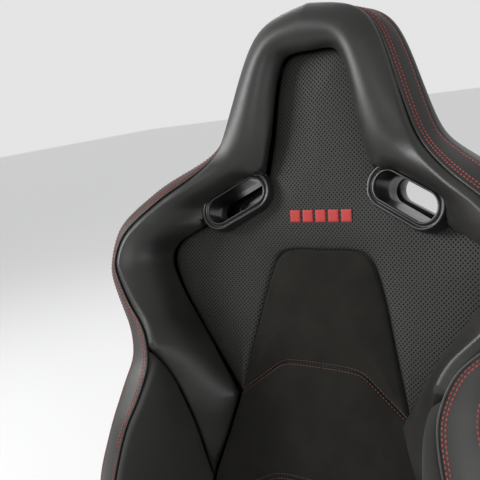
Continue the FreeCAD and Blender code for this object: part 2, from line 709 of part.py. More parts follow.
def latch_lever(name, side):
    """Lever on the upper rail whose teeth drop into the lower rail's notches."""
    body = new_body(f"latch_lever_{name}")
    inner = f"({rail_centre} - sliderWidth / 2 - latchInset)"
    outer = f"({rail_centre} - sliderWidth / 2 - latchInset - latchWidth)"
    hub = sketch_on(body, "YZ_Plane", "Hub", f"{side} * {outer}")
    circle(hub, "latchPivotReach", "latchPivotRise", "latchHub")
    pad(body, hub, "latchWidth + latchInset - slideGap", reverse=side < 0)
    blade = sketch_on(body, "YZ_Plane", "Blade", f"{side} * {outer}")
    polygon(blade, [
        ("latchFront", "latchFoot"), ("latchPivotReach - latchHub / 2 + latchLap", "latchFoot"),
        ("latchPivotReach", "latchPivotRise - latchHub / 2 + latchLap / 2"),
        ("latchPivotReach", "latchPivotRise + latchHub / 2 - latchLap"),
        ("latchPivotReach - latchHub", "latchFoot + latchWall"), ("latchFront", "latchFoot + latchWall"),
    ])
    pad(body, blade, "latchWidth", reverse=side < 0)
    tab = sketch_on(body, "XY_Plane", "Tab", "latchFoot")
    polygon(tab, box_outline(
        (f"{side} * (towBarHalf - towBar / 2)", "latchFront"),
        (f"{side} * {inner}", "latchFront + tabLength")))
    pad(body, tab, "latchWall")
    middle = f"({rail_centre} - railSlot / 2 - notchReach / 2)"
    tooth = sketch_on(body, "YZ_Plane", "Tooth", f"{side} * {middle}")
    polygon(tooth, [
        ("toothFirst - toothLength / 2", "latchFoot + latchLap"), ("toothFirst - toothTip / 2", "toothFoot"),
        ("toothFirst + toothTip / 2", "toothFoot"), ("toothFirst + toothLength / 2", "latchFoot + latchLap"),
    ])
    first = pad(body, tooth, "toothWidth", symmetric=True)
    pattern(body, first, tooth, "H_Axis", "notchPitch * (toothTotal - 1)", "toothTotal")
    bore = sketch_on(body, "YZ_Plane", "Bore", f"{side} * {outer}")
    circle(bore, "latchPivotReach", "latchPivotRise", "latchPin + 2 * runningGap")
    pocket(body, bore, "latchWidth * 4")
    return body


def latch_pins():
    pins = []
    for name, side in sides:
        wall = f"({rail_centre} - sliderWidth / 2)"
        length = "(latchInset + latchWidth + slideGap)"
        spot = ("latchPivotReach", "latchPivotRise")
        shank = rod_x("latchShank" + name, "latchPin", length, (f"{side} * ({wall} - {length} / 2)",) + spot)
        head = rod_x(
            "latchHead" + name, "latchPinHead", "latchPinHeadWall",
            (f"{side} * ({wall} - {length} - latchPinHeadWall / 2)",) + spot)
        pins.append(fuse("latchPinWhole" + name, [shank, head]))
    return subpart(group("latchPinPair", pins), "latch_pins")


def tow_bar():
    """U-shaped bar under the cushion that lifts both latch levers."""
    body = new_body("tow_bar")
    rise = "latchFoot - towBar / 2"
    spine = sketch_on(body, "XY_Plane", "Spine", rise)
    tail = "latchFront + tabLength"
    bent_path(spine, [
        ("towBarHalf", tail), ("towBarHalf", "towBarReach"), ("-towBarHalf", "towBarReach"),
        ("-towBarHalf", tail),
    ], "towBarBend")
    section = sketch_on(body, "XZ_Plane", "Section", f"-({tail})")
    circle(section, "towBarHalf", rise, "towBar")
    circle(section, "towBarHalf", rise, "towBar - 2 * towBarWall")
    pipe(body, section, spine)
    return body


# Recline release

def sync_rod():
    length = f"2 * ({lever_inner} + leverHubWidth)"
    return subpart(rod_x("syncRod", "rodSize", length, ("0", "pivotReach", "pivotRise")), "sync_rod")


def recline_lever(name, side):
    """Hand lever on the release rod, with a tapered blade that points forward."""
    body = new_body(f"recline_lever_{name}")
    reach, rise = "pivotReach", "pivotRise"
    hub = sketch_on(body, "YZ_Plane", "Hub", f"{side} * {lever_inner}")
    circle(hub, reach, rise, "leverHub")
    pad(body, hub, "leverHubWidth", reverse=side < 0)
    blade = sketch_on(body, "YZ_Plane", "Blade", f"{side} * {lever_inner}")
    polygon(blade, [
        (f"{reach}", f"{rise} - leverWidth / 2"),
        (f"{reach} - leverBend", f"{rise} - leverBendFoot"),
        (f"{reach} - leverReach", f"{rise} - leverTipFoot"),
        (f"{reach} - leverReach", f"{rise} + leverTip - leverTipFoot"),
        (f"{reach} - leverBend", f"{rise} + leverBendCrest"),
        (f"{reach}", f"{rise} + leverWidth / 2"),
    ])
    arm = pad(body, blade, "leverWall", reverse=side < 0)
    tip = size(f"{reach} - leverReach")
    fillet(
        body, arm, "leverTipRound",
        lambda edge: straight_along(Vector(1, 0, 0))(edge) and abs(edge.BoundBox.YMin - tip) < 0.01)
    bore = sketch_on(body, "YZ_Plane", "Bore", f"{side} * {lever_inner}")
    circle(bore, reach, rise, "rodSize")
    pocket(body, bore, "leverHubWidth * 4")
    return body


def lever_screws():
    screws = []
    for name, side in sides:
        face = f"({lever_inner} + leverHubWidth)"
        screws.append(rod_x(
            "leverScrew" + name, "leverScrewHead", "leverScrewRise",
            (f"{side} * ({face} + leverScrewRise / 2)", "pivotReach", "pivotRise")))
    return subpart(group("leverScrewPair", screws), "lever_screws")


# Back frame

def recliner_arm(name, side):
    """Plate that carries the back frame's tube down to the recliner disc."""
    body = new_body(f"recliner_arm_{name}")
    inner = "(hoopHalf + hoopTube / 2)"
    face = sketch_on(body, "YZ_Plane", "Face", f"{side} * {inner}")
    half = "armTopWidth / 2"
    polygon(face, [
        ("-armHub / 2", "0"), ("-armHubChord", "-armHubChord"), ("0", "-armHub / 2"),
        ("armHubChord", "-armHubChord"), ("armHub / 2", "0"), (half, "hipRise - armHipGap"),
        (half, "armTop"), (f"-{half}", "armTop"), (f"-{half}", "hipRise - armHipGap"),
    ])
    pad(body, face, "armWall", reverse=side < 0)
    hole = sketch_on(body, "YZ_Plane", "Hole", f"{side} * {inner}")
    circle(hole, "0", "0", "rodHole")
    pocket(body, hole, "armWall * 4")
    return lean(body)


def recliner_ratchet(name, side):
    """Disc on the arm, with a spigot that turns in the guide's recess."""
    body = new_body(f"recliner_ratchet_{name}")
    inner = "(hoopHalf + hoopTube / 2 + armWall)"
    disc = sketch_on(body, "YZ_Plane", "Disc", f"{side} * {inner}")
    circle(disc, "0", "0", "discSize")
    pad(body, disc, "discWall", reverse=side < 0)
    spigot = sketch_on(body, "YZ_Plane", "Spigot", f"{side} * {inner}")
    circle(spigot, "0", "0", "spigotSize - 2 * runningGap")
    pad(body, spigot, "discWall + spigotDepth", reverse=side < 0)
    hole = sketch_on(body, "YZ_Plane", "Hole", f"{side} * {inner}")
    circle(hole, "0", "0", "rodSize + 2 * runningGap")
    pocket(body, hole, "(discWall + spigotDepth) * 4")
    return lean(body)


def back_frame_hoop():
    """Bent tube that follows the backrest's outline, over the shoulders and round the head."""
    body = new_body("back_frame_hoop")
    spine = sketch_on(body, "XZ_Plane", "Spine")
    right = [
        ("hoopHalf", "hoopFoot"), ("hoopHalf", "hoopShoulder"), ("hoopNeckHalf", "hoopNeck"),
        ("hoopCrownHalf", "hoopCrown"),
    ]
    bent_path(spine, right + [(f"-{across}", up) for across, up in reversed(right)], "hoopBend")
    section = sketch_on(body, "XY_Plane", "Section", "hoopFoot")
    circle(section, "hoopHalf", "0", "hoopTube")
    circle(section, "hoopHalf", "0", "hoopTube - 2 * hoopWall")
    pipe(body, section, spine)
    return lean(body)


def cross_bar(name, rise):
    """Bar between the hoop's legs, with ends shaped to the tube."""
    bar = rod_x(name + "Bar", "crossBar", "2 * hoopHalf", ("0", "0", rise))
    leg_measures = {"Radius": "hoopTube / 2", "Height": "2 * crossBar"}
    legs = [
        primitive(
            "Cylinder", f"{name}Leg{label}", leg_measures,
            (f"{side} * hoopHalf", "0", f"{rise} - crossBar"))
        for label, side in sides
    ]
    item = cut(name + "Coped", bar, group(name + "Legs", legs))
    return subpart(lean(item), name)


def back_straps():
    """Elastic webbing between the hoop's legs, which carries the foam."""
    straps = []
    half = "(hoopHalf - hoopTube / 2)"
    for index in range(round(size("backStrapTotal"))):
        middle = f"(backStrapFirst + backStrapPitch * {index})"
        straps.append(block(
            f"backStrap{index}", (f"-{half}", "-strapWall / 2", f"{middle} - backStrapWidth / 2"),
            (half, "strapWall / 2", f"{middle} + backStrapWidth / 2")))
    return subpart(lean(group("backStrapSet", straps)), "back_straps")


# Backrest block

def smooth(points):
    """An edge that runs smoothly through the points."""
    curve = Part.BSplineCurve()
    curve.interpolate(points)
    return curve.toShape()


def mirrored(points):
    return [Vector(-point.x, point.y, point.z) for point in reversed(points)]


def seam_points(table, depth=0.0):
    """Points of a seam on the +X side, from the sheet."""
    return [Vector(size(name + "Half"), depth, size(name + "Rise")) for name in table]


def outline_wire(depth, inset):
    """The backrest's outline at one depth, moved inwards by the inset."""
    right = seam_points(outline, depth)
    whole = right + [Vector(0, depth, size("headTop"))] + mirrored(right)
    curve = Part.BSplineCurve()
    curve.interpolate(whole)
    moved = []
    for point in whole:
        along = curve.tangent(curve.parameter(point))[0]
        moved.append(point + Vector(-along.z, 0, along.x) * inset)
    moved[0] = moved[0] + Vector(0, 0, inset / 2)
    moved[-1] = moved[-1] + Vector(0, 0, inset / 2)
    hip, base, half = moved[0].z, size("baseRise") + inset, size("lumbarHalf") - inset
    corners = [
        moved[-1], Vector(-half, depth, hip), Vector(-half, depth, base), Vector(half, depth, base),
        Vector(half, depth, hip), moved[0],
    ]
    edges = [smooth(moved)]
    edges += [Part.makeLine(start, end) for start, end in zip(corners, corners[1:])]
    return Part.Wire(edges)


def outline_half(rise):
    """Half width of the outline at one rise, on the straight line between its points."""
    names = list(outline)
    rises = [size(name + "Rise") for name in names] + [size("headTop")]
    halves = [size(name + "Half") for name in names] + [0.0]
    if rise <= rises[0]:
        return halves[0]
    for i in range(len(rises) - 1):
        if rise <= rises[i + 1]:
            share = (rise - rises[i]) / (rises[i + 1] - rises[i])
            return halves[i] + (halves[i + 1] - halves[i]) * share
    return size("crownHalf") / 2


def backrest_section(name):
    """The face of the backrest at one rise, closed behind at the back of the foam."""
    rise = size(name + "Rise")
    edge = outline_half(rise)
    crest = edge - size(name + "CrestInset")
    right = [
        Vector(size(name + "SeamHalf"), -size(name + "SeamDepth"), rise),
        Vector(crest, -size(name + "CrestDepth"), rise),
        Vector(edge, -size(name + "EdgeDepth"), rise),
    ]
    back, wide = -size("foamBack"), size("shoulderHalf") + size("foamBack")
    middle = Vector(0, -size(name + "CentreDepth"), rise)
    front = smooth(mirrored(right) + [middle] + right)
    corners = [
        right[-1], Vector(wide, right[-1].y, rise), Vector(wide, back, rise),
        Vector(-wide, back, rise), Vector(-wide, right[-1].y, rise), mirrored(right)[0],
    ]
    sides_and_back = [Part.makeLine(start, end) for start, end in zip(corners, corners[1:])]
    return Part.Wire([front] + sides_and_back)


def slot_prism(side, length, height, front, back, tilt=0.0):
    """Solid stadium across a harness slot, from one depth to another."""
    middle, radius = (length - height) / 2, height / 2
    ring = [
        Part.Arc(Vector(middle, 0, -radius), Vector(middle + radius, 0, 0), Vector(middle, 0, radius)).toShape(),
        Part.makeLine(Vector(middle, 0, radius), Vector(-middle, 0, radius)),
        Part.Arc(Vector(-middle, 0, radius), Vector(-middle - radius, 0, 0), Vector(-middle, 0, -radius)).toShape(),
        Part.makeLine(Vector(-middle, 0, -radius), Vector(middle, 0, -radius)),
    ]
    prism = Part.Face(Part.Wire(ring)).extrude(Vector(0, back - front, 0))
    slant = Rotation(Vector(0, 1, 0), side * size("slotSlant"))
    turn = slant.multiply(Rotation(Vector(0, 0, 1), -side * tilt))
    prism.Placement = Placement(Vector(side * size("slotHalf"), front, size("slotRise")), turn)
    return prism


def seam_sheet(edges, front):
    """Cutting surface that stands on a seam and runs through the foam."""
    return Part.Wire(edges).extrude(Vector(0, front, 0))


def backrest_block():
    """The whole upholstered front of the backrest, before it is split along its seams."""
    sections = [backrest_section(name) for name in backrest_sections]
    relief = Part.makeLoft(sections, True, False)
    back = -size("foamBack")
    front = -2 * size("lumbarCrestDepth")
    prism = Part.Face(outline_wire(back, 0)).extrude(Vector(0, front - back, 0))
    whole = prism.common(relief)
    length = size("slotLength + 2 * slotWall + 2 * sleeveRoom")
    height = size("slotHeight + 2 * slotWall + sleeveRoom")
    seat = size("bezelDepth - bezelForward")
    lip_length, lip_height = size("bezelLength + sleeveGap"), size("bezelHeight + sleeveGap")
    for name, side in sides:
        whole = whole.cut(slot_prism(side, length, height, front, -back))
        recess = slot_prism(side, lip_length, lip_height, seat, front, size("slotTilt"))
        whole = whole.cut(recess)
    return whole


def backrest_seams():
    """Cutting surfaces along every seam on the face of the backrest."""
    front = -2 * size("lumbarCrestDepth")
    head, body_seam = seam_points(insert_head_seam), seam_points(insert_body_seam)
    suede, ribs = seam_points(suede_seam), seam_points(rib_seam)
    top_left = mirrored(head)[-1]
    insert = [
        smooth(mirrored(body_seam)), Part.makeLine(mirrored(body_seam)[-1], mirrored(head)[0]),
        smooth(mirrored(head)), Part.makeLine(top_left, head[0]), smooth(head),
        Part.makeLine(head[-1], body_seam[0]), smooth(body_seam),
    ]
    foot = [Vector(size("lumbarHalf"), 0, size("hipRise")), Vector(size("lumbarHalf"), 0, 0)]
    panel = [
        Part.makeLine(mirrored(foot)[0], mirrored(foot)[1]), Part.makeLine(mirrored(foot)[1], mirrored(suede)[0]),
        smooth(mirrored(suede)), Part.makeLine(mirrored(suede)[-1], suede[0]), smooth(suede),
        Part.makeLine(suede[-1], foot[0]), Part.makeLine(foot[0], foot[1]),
    ]
    sheets = [seam_sheet(insert, front), seam_sheet(panel, front)]
    neck, wide = size("neckSeam"), size("shoulderHalf + cutterLap")
    for side in (1, -1):
        meeting = Vector(size("suedeLapHalf"), 0, size("suedeLapRise"))
        seam = [Vector(side * point.x, point.y, point.z) for point in ribs + [meeting]]
        outer = Vector(side * wide, 0, seam[0].z)
        sheets.append(seam_sheet([Part.makeLine(outer, seam[0]), smooth(seam)], front))
        inner = Vector(side * size("panelFootHalf - neckLap"), 0, neck)
        sheets.append(seam_sheet([Part.makeLine(Vector(side * wide, 0, neck), inner)], front))
    for index in range(2):
        drop = size("arcPitch") * index
        names = ("suedeTip", "suedeLap")
        ends = size(names[index] + "Half"), size(names[index] + "Rise")
        fall = size("arcRise") - size("suedeTipRise")
        knee = Vector(size("kneeHalf"), 0, size("arcRise") - drop)
        end = Vector(ends[0] * 1.15, 0, knee.z - fall * 1.2) if index else Vector(ends[0], 0, ends[1])
        loop = [end, knee] + mirrored([end, knee])
        sheets.append(seam_sheet([Part.makeLine(a, b) for a, b in zip(loop, loop[1:])], front))
    return sheets


def soft_backrest():
    """Split the block along its seams and name each piece by a point that lies in it."""
    pieces = SplitAPI.slice(backrest_block(), backrest_seams(), "Split").Solids
    inside = -size("foamBack") - 2
    places = {
        "head_bolster": (0, size("ridgeRise")),
        "perforated_insert": (0, size("suedeTopRise + neckSeam") / 2),
        "centre_panel_upper": (0, size("arcRise + arcPitch / 4")),
        "centre_panel_middle": (0, size("arcRise - arcPitch / 2")),
        "lumbar_panel": (0, size("lumbarRise") - size("arcPitch / 2")),
    }
    for name, side in sides:
        places[f"shoulder_bolster_{name}"] = (side * size("shoulderHalf - probeInset"), size("shoulderRise"))
        places[f"rib_bolster_{name}"] = (side * size("ribHalf - probeInset"), size("ribRise"))
    lean_back = Placement(
        Vector(0, size("pivotReach"), size("pivotRise")), Rotation(Vector(1, 0, 0), -size("reclineAngle")))
    for node, (across, up) in places.items():
        found = [piece for piece in pieces if piece.isInside(Vector(across, inside, up), 0.01, False)]
        if len(found) != 1:
            raise RuntimeError(f"{node} isn't one piece of the backrest")
        solid(node, found[0], lean_back)
        pieces = [piece for piece in pieces if not piece.isSame(found[0])]
    if pieces:
        spots = [str(piece.CenterOfMass) + f" {piece.Volume:.0f}" for piece in pieces]
        raise RuntimeError("pieces of the backrest without a name: " + "; ".join(spots))


def rear_shell():
    """Moulded tray behind the foam, which closes round the frame."""
    back, depth, knee = -size("foamBack"), size("shellDepth"), size("shellKnee")
    wall, taper = size("shellWall"), size("shellTaper")
    straight = Part.Face(outline_wire(back, 0)).extrude(Vector(0, knee - back, 0))
    tapered = Part.makeLoft([outline_wire(knee, 0), outline_wire(depth, taper)], True, True)
    hollow = Part.Face(outline_wire(back, wall)).extrude(Vector(0, knee - back, 0))
    hollow_taper = Part.makeLoft(
        [outline_wire(knee, wall), outline_wire(depth - wall, wall + taper * 0.9)], True, True)
    shell = straight.fuse(tapered).cut(hollow).cut(hollow_taper)
    hip, outer = size("hipRise"), size("hoopHalf + hoopTube / 2 + armWall + sleeveGap")
    inner = size("hoopHalf - hoopTube / 2 - sleeveGap")
    for name, side in sides:
        corner = Vector(min(side * inner, side * outer), back - 1, hip - wall)
        shell = shell.cut(Part.makeBox(outer - inner, knee - back + 1, 5 * wall, corner))
        length = size("slotLength + 2 * slotWall + 2 * sleeveGap")
        height = size("slotHeight + 2 * slotWall + 2 * sleeveGap")
        shell = shell.cut(slot_prism(side, length, height, knee, depth + wall))
    lean_back = Placement(
        Vector(0, size("pivotReach"), size("pivotRise")), Rotation(Vector(1, 0, 0), -size("reclineAngle")))
    return solid("rear_shell", shell.removeSplitter(), lean_back)


def bezel(node, side, spot_depth, ring_depth, sleeve, tilt, forward):
    """Ring round a harness slot, with a sleeve into the foam."""
    body = new_body(node)
    ring = sketch_on(body, "XZ_Plane", "Ring")
    stadium(ring, "bezelLength", "bezelHeight")
    flange = pad(body, ring, ring_depth, reverse=not forward)
    face = size(ring_depth) * (-1 if forward else 1)
    fillet(
        body, flange, "bezelRound" if forward else "bezelRound / 2",
        lambda edge: abs(edge.BoundBox.YMin - face) < 0.01 and abs(edge.BoundBox.YMax - face) < 0.01)
    tube = sketch_on(body, "XZ_Plane", "Sleeve")
    stadium(tube, "slotLength + 2 * slotWall", "slotHeight + 2 * slotWall")
    pad(body, tube, sleeve, reverse=forward)
    hole = sketch_on(body, "XZ_Plane", "Hole")
    stadium(hole, "slotLength", "slotHeight")
    pocket(body, hole, f"4 * ({sleeve})")
    slant = Rotation(Vector(0, 1, 0), side * size("slotSlant"))
    turn = slant.multiply(Rotation(Vector(0, 0, 1), -side * size(tilt)))
    lean_back = Placement(
        Vector(0, size("pivotReach"), size("pivotRise")), Rotation(Vector(1, 0, 0), -size("reclineAngle")))
    spot = Vector(side * size("slotHalf"), size(spot_depth), size("slotRise"))
    body.Placement = lean_back.multiply(Placement(spot, turn))
    return body


# Cushion block

def cushion_section(name):
    """The top of the cushion at one reach, closed below at the pan."""
    reach, edge = size(name + "Reach"), size("cushionHalf")
    crest = edge - size(name + "CrestInset")
    right = [
        Vector(size(name + "SeamHalf"), reach, size(name + "SeamRise")),
        Vector(crest, reach, size(name + "CrestRise")),
        Vector(edge, reach, size(name + "EdgeRise")),
    ]
    foot = cushion_foot()
    top = smooth(mirrored(right) + [Vector(0, reach, size(name + "CentreRise"))] + right)
    corners = [right[-1], Vector(edge, reach, foot), Vector(-edge, reach, foot), mirrored(right)[0]]
    return Part.Wire([top] + [Part.makeLine(start, end) for start, end in zip(corners, corners[1:])])


def cushion_foot():
    return size("crossTubeRise + crossTube / 2 + panWall + softGap")


def cushion_plan():
    """Plan outline of the cushion, stepped in at the rear between the side plates."""
    half, corner, front = size("cushionHalf"), size("cushionCorner"), size("lipReach")
    shoulder, tail, tail_half = size("cushionShoulder"), size("tailReach"), size("cushionTailHalf")
    foot = cushion_foot()
    bend = corner * (1 - math.sqrt(0.5))
    right = [
        Vector(tail_half, tail, foot), Vector(tail_half, shoulder, foot), Vector(half, shoulder, foot),
        Vector(half, front + corner, foot),
    ]
    turn = Vector(half - bend, front + bend, foot)
    front_right = Vector(half - corner, front, foot)
    edges = [Part.makeLine(a, b) for a, b in zip(right, right[1:])]
    edges.append(Part.Arc(right[-1], turn, front_right).toShape())
    left = mirrored(right + [turn, front_right])
    edges.append(Part.makeLine(front_right, left[0]))
    edges.append(Part.Arc(left[0], left[1], left[2]).toShape())
    loop = left[2:] + [right[0]]
    edges += [Part.makeLine(a, b) for a, b in zip(loop, loop[1:])]
    return Part.Face(Part.Wire(edges))


def soft_cushion():
    """Cushion block split into the centre, the nose roll and the thigh bolsters."""
    relief = Part.makeLoft([cushion_section(name) for name in cushion_sections], True, False)
    height = 2 * size("thighCrestRise")
    whole = cushion_plan().extrude(Vector(0, 0, height)).common(relief)
    wide, foot, nose = size("cushionHalf + cutterLap"), 0.0, size("noseSeam")
    up = Vector(0, 0, height)
    sheets = [Part.makeLine(Vector(-wide, nose, foot), Vector(wide, nose, foot)).extrude(up)]
    for side in (1, -1):
        ends = [
            Vector(side * size("thighSeamFront"), nose, foot),
            Vector(side * size("thighSeamTail"), size("cushionShoulder"), foot),
            Vector(side * wide, size("cushionShoulder"), foot),
        ]
        sheets.append(Part.Wire([Part.makeLine(a, b) for a, b in zip(ends, ends[1:])]).extrude(up))
    pieces = SplitAPI.slice(whole, sheets, "Split").Solids
    level = cushion_foot() + size("crossTube / 4")
    places = {"cushion_centre": (0, 0), "cushion_nose": (0, size("noseSeam + lipReach") / 2)}
    for name, side in sides:
        places[f"thigh_bolster_{name}"] = (side * size("thighSeamTail + cushionHalf") / 2, size("thighReach"))
    for node, (across, reach) in places.items():
        found = [piece for piece in pieces if piece.isInside(Vector(across, reach, level), 0.01, False)]
        if len(found) != 1:
            raise RuntimeError(f"{node} isn't one piece of the cushion")
        solid(node, found[0])


# Assembly

for name, side in sides:
    lower_rail(name, side)
    upper_rail(name, side)
    side_plate(name, side)
    recliner_guide(name, side)
    recliner_cover(name, side)
    latch_lever(name, side)
    recline_lever(name, side)
    recliner_arm(name, side)
    recliner_ratchet(name, side)
    bezel(
        f"harness_bezel_front_{name}", side, "bezelDepth - bezelForward", "bezelDepth",
        "bezelSleeve", "slotTilt", True)
    bezel(
        f"harness_bezel_rear_{name}", side, "shellDepth", "rearBezelDepth",
        "shellDepth + rearSleeveReach", "0", False)
rail_stop_pins()
rail_glides()
rail_stop_blocks()
seat_bolts()
cross_tube("cross_tube_front", "frontTubeReach")
cross_tube("cross_tube_rear", "rearTubeReach")
cushion_pan()
cushion_straps()
latch_pins()
tow_bar()
sync_rod()
lever_screws()
back_frame_hoop()
cross_bar("back_cross_bar_lower", "lowerBarRise")
cross_bar("back_cross_bar_upper", "upperBarRise")
back_straps()
rear_shell()
soft_backrest()
soft_cushion()
doc.recompute()

broken = [item.Label for item in doc.Objects if "Invalid" in item.State or "Error" in item.State]
broken += [item.Label for item in subparts if item.Shape.isNull() or not item.Shape.isValid()]
if broken:
    raise RuntimeError("objects that failed: " + ", ".join(sorted(set(broken))))
for item in subparts:
    item.Shape.exportStep(f"parts/{item.Label}.step")
print(len(subparts), "sub-parts written")
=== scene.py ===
import json
import math

import bmesh
import bpy
import numpy as np
from mathutils import Matrix, Vector


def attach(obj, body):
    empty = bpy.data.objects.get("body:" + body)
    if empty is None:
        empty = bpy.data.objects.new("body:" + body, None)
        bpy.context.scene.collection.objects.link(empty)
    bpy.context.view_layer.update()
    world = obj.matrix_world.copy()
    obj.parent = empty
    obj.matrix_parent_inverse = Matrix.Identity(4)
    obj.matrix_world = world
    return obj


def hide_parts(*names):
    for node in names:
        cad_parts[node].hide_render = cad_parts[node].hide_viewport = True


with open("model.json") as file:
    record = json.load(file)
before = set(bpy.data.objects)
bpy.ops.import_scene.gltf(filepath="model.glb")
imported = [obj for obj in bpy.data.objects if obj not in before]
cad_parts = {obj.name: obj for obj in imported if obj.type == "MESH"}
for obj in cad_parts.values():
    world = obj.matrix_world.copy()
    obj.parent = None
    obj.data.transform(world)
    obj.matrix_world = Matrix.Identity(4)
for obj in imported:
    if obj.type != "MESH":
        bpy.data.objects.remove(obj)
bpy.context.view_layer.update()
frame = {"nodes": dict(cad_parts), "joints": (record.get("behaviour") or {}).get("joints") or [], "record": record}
mm = 0.001
# the sitter's left as it is worked out, and the right as its mirror image
hands = {"left": np.ones(3), "right": np.array([-1.0, 1.0, 1.0])}
bothHands = tuple(hands.values())

backrest = {
    "lean": 14.0,  # degrees back from upright
    "pivot": next(j["pos_m"] for j in frame["joints"] if j["name"] == "backrest_recline"),
    "inside": (0.0, -60.0, 420.0),  # every front and side faces away from here
    "ahead": (0.0, 100.0, 420.0),  # the back cover faces away from here
}
padding = {
    "groove": 3.0,  # how deep thread pulls the cover in at a seam
    "grooveReach": 2.4,
    "pull": 3.2,  # wide, soft fall towards a seam
    "pullReach": 9.375,
    "hem": 9.0,  # a pad reaches its full thickness this far from its seam
}


def seat(points):
    # backrest place (across, depth, rise) in mm to world metres: turned by the lean about the recline pivot
    points = np.asarray(points, float) * mm
    angle = math.radians(backrest["lean"])
    across, depth, rise = points[..., 0], points[..., 1], points[..., 2]
    return np.stack([
        backrest["pivot"][0] + across,
        backrest["pivot"][1] - depth * math.cos(angle) + rise * math.sin(angle),
        backrest["pivot"][2] + depth * math.sin(angle) + rise * math.cos(angle),
    ], axis=-1)


def upright(points):
    # cushion place (across, forward, rise) in mm to world metres
    points = np.asarray(points, float) * mm
    return points * np.array([1.0, -1.0, 1.0])


def cubic(knots, values, at):
    # natural cubic spline: the knots' second derivatives solve a banded system, and each span is a cubic
    knots, values, at = np.asarray(knots, float), np.asarray(values, float), np.asarray(at, float)
    flat = values.reshape(len(knots), -1)
    step = np.diff(knots)
    count = len(knots)
    system = np.eye(count)
    right = np.zeros_like(flat)
    inner = np.arange(1, count - 1)
    system[inner, inner - 1] = step[:-1]
    system[inner, inner] = 2 * (step[:-1] + step[1:])
    system[inner, inner + 1] = step[1:]
    slope = np.diff(flat, axis=0) / step[:, None]
    right[1:-1] = 6 * np.diff(slope, axis=0)
    bend = np.linalg.solve(system, right)
    span = np.clip(np.searchsorted(knots, at, side="right") - 1, 0, count - 2)
    t = (at - knots[span])[:, None]
    h = step[span][:, None]
    result = (
        flat[span] + t * (slope[span] - h * (2 * bend[span] + bend[span + 1]) / 6)
        + t ** 2 * bend[span] / 2 + t ** 3 * (bend[span + 1] - bend[span]) / (6 * h)
    )
    return result.reshape((len(at),) + values.shape[1:])


def through(stations, at, corners=()):
    # one spline through numbered stations, begun afresh at each corner
    stations = np.asarray(stations, float)
    ends = [0, *corners, len(stations) - 1]
    result = np.zeros((len(at),) + stations.shape[1:])
    for first, last in zip(ends, ends[1:]):
        part = (at >= first) & (at <= last)
        result[part] = cubic(np.arange(first, last + 1), stations[first:last + 1], at[part])
    return result


def walkedLength(path):
    # the length walked along a line up to each of its points
    return np.concatenate([[0], np.cumsum(np.linalg.norm(np.diff(path, axis=0), axis=1))])


def pointsAt(at, walked, path):
    return np.stack([np.interp(at, walked, path[:, axis]) for axis in range(path.shape[1])], axis=1)


def evenly(path, spacing):
    # the same line walked in equal steps of about the spacing
    walked = walkedLength(path)
    count = max(2, int(round(walked[-1] / spacing)))
    return pointsAt(np.linspace(0, walked[-1], count + 1), walked, path)


def unit(vectors):
    return vectors / np.maximum(np.linalg.norm(vectors, axis=-1, keepdims=True), 1e-12)


def smoothStep(value):
    value = np.clip(value, 0, 1)
    return value * value * (3 - 2 * value)


def nearEnds(count, amount=0.65):
    # 0 to 1, with closer steps at both ends: a straight line mixed with half a cosine
    t = np.linspace(0, 1, count)
    return (1 - amount) * t + amount * (0.5 - 0.5 * np.cos(np.pi * t))


def seamDistance(points, seam):
    # distance in mm from every grid point to the nearest point of a densely walked seam
    flat = points.reshape(-1, 3)
    least = np.full(len(flat), 1e9)
    for part in np.array_split(seam, max(1, len(seam) // 150)):
        least = np.minimum(least, ((flat[:, None, :] - part[None, :, :]) ** 2).sum(axis=2).min(axis=1))
    return np.sqrt(least).reshape(points.shape[:-1])


def gridNormals(grid):
    # cross product of the two grid directions; a pinched row borrows the nearest sound normal
    normal = np.cross(np.gradient(grid, axis=0), np.gradient(grid, axis=1))
    size = np.linalg.norm(normal, axis=-1)
    weak = size < 0.02 * np.median(size)
    normal = unit(normal)
    if weak.any() and not weak.all():
        sound, lost = np.argwhere(~weak)[::5], np.argwhere(weak)
        gap = ((lost[:, None, :] - sound[None, :, :]) ** 2).sum(axis=2)
        pick = sound[gap.argmin(axis=1)]
        normal[lost[:, 0], lost[:, 1]] = normal[pick[:, 0], pick[:, 1]]
    return normal


def gridFaces(rows, columns, start=0, closeRows=False, closeColumns=False):
    r, c = np.meshgrid(np.arange(rows if closeRows else rows - 1),
                       np.arange(columns if closeColumns else columns - 1), indexing="ij")
    nextR, nextC = (r + 1) % rows, (c + 1) % columns
    quads = [r * columns + c, nextR * columns + c, nextR * columns + nextC, r * columns + nextC]
    return np.stack(quads, axis=-1).reshape(-1, 4) + start


def meshPiece(name, points, faces, uvs=None, merge=2e-6):
    # points in world metres; doubles are merged and normals turned outwards
    mesh = bpy.data.meshes.new(name)
    mesh.from_pydata(points.tolist(), [], faces if isinstance(faces, list) else faces.tolist())
    if uvs is not None:
        layer = mesh.uv_layers.new(name="surface")
        corner = np.zeros(len(mesh.loops), np.int32)
        mesh.loops.foreach_get("vertex_index", corner)
        layer.data.foreach_set("uv", uvs[corner].astype(np.float32).ravel())
    work = bmesh.new()
    work.from_mesh(mesh)
    bmesh.ops.remove_doubles(work, verts=work.verts, dist=merge)
    bmesh.ops.dissolve_degenerate(work, edges=work.edges, dist=merge)
    bmesh.ops.recalc_face_normals(work, faces=work.faces)
    work.to_mesh(mesh)
    work.free()
    mesh.polygons.foreach_set("use_smooth", np.ones(len(mesh.polygons), bool))
    piece = bpy.data.objects.new(name, mesh)
    bpy.context.scene.collection.objects.link(piece)
    return piece


def facingOut(grid, middle):
    # the grid's normals, turned as one to face away from the middle
    normals = gridNormals(grid)
    return normals * np.sign((normals * (grid - np.array(middle))).sum(axis=-1).mean())


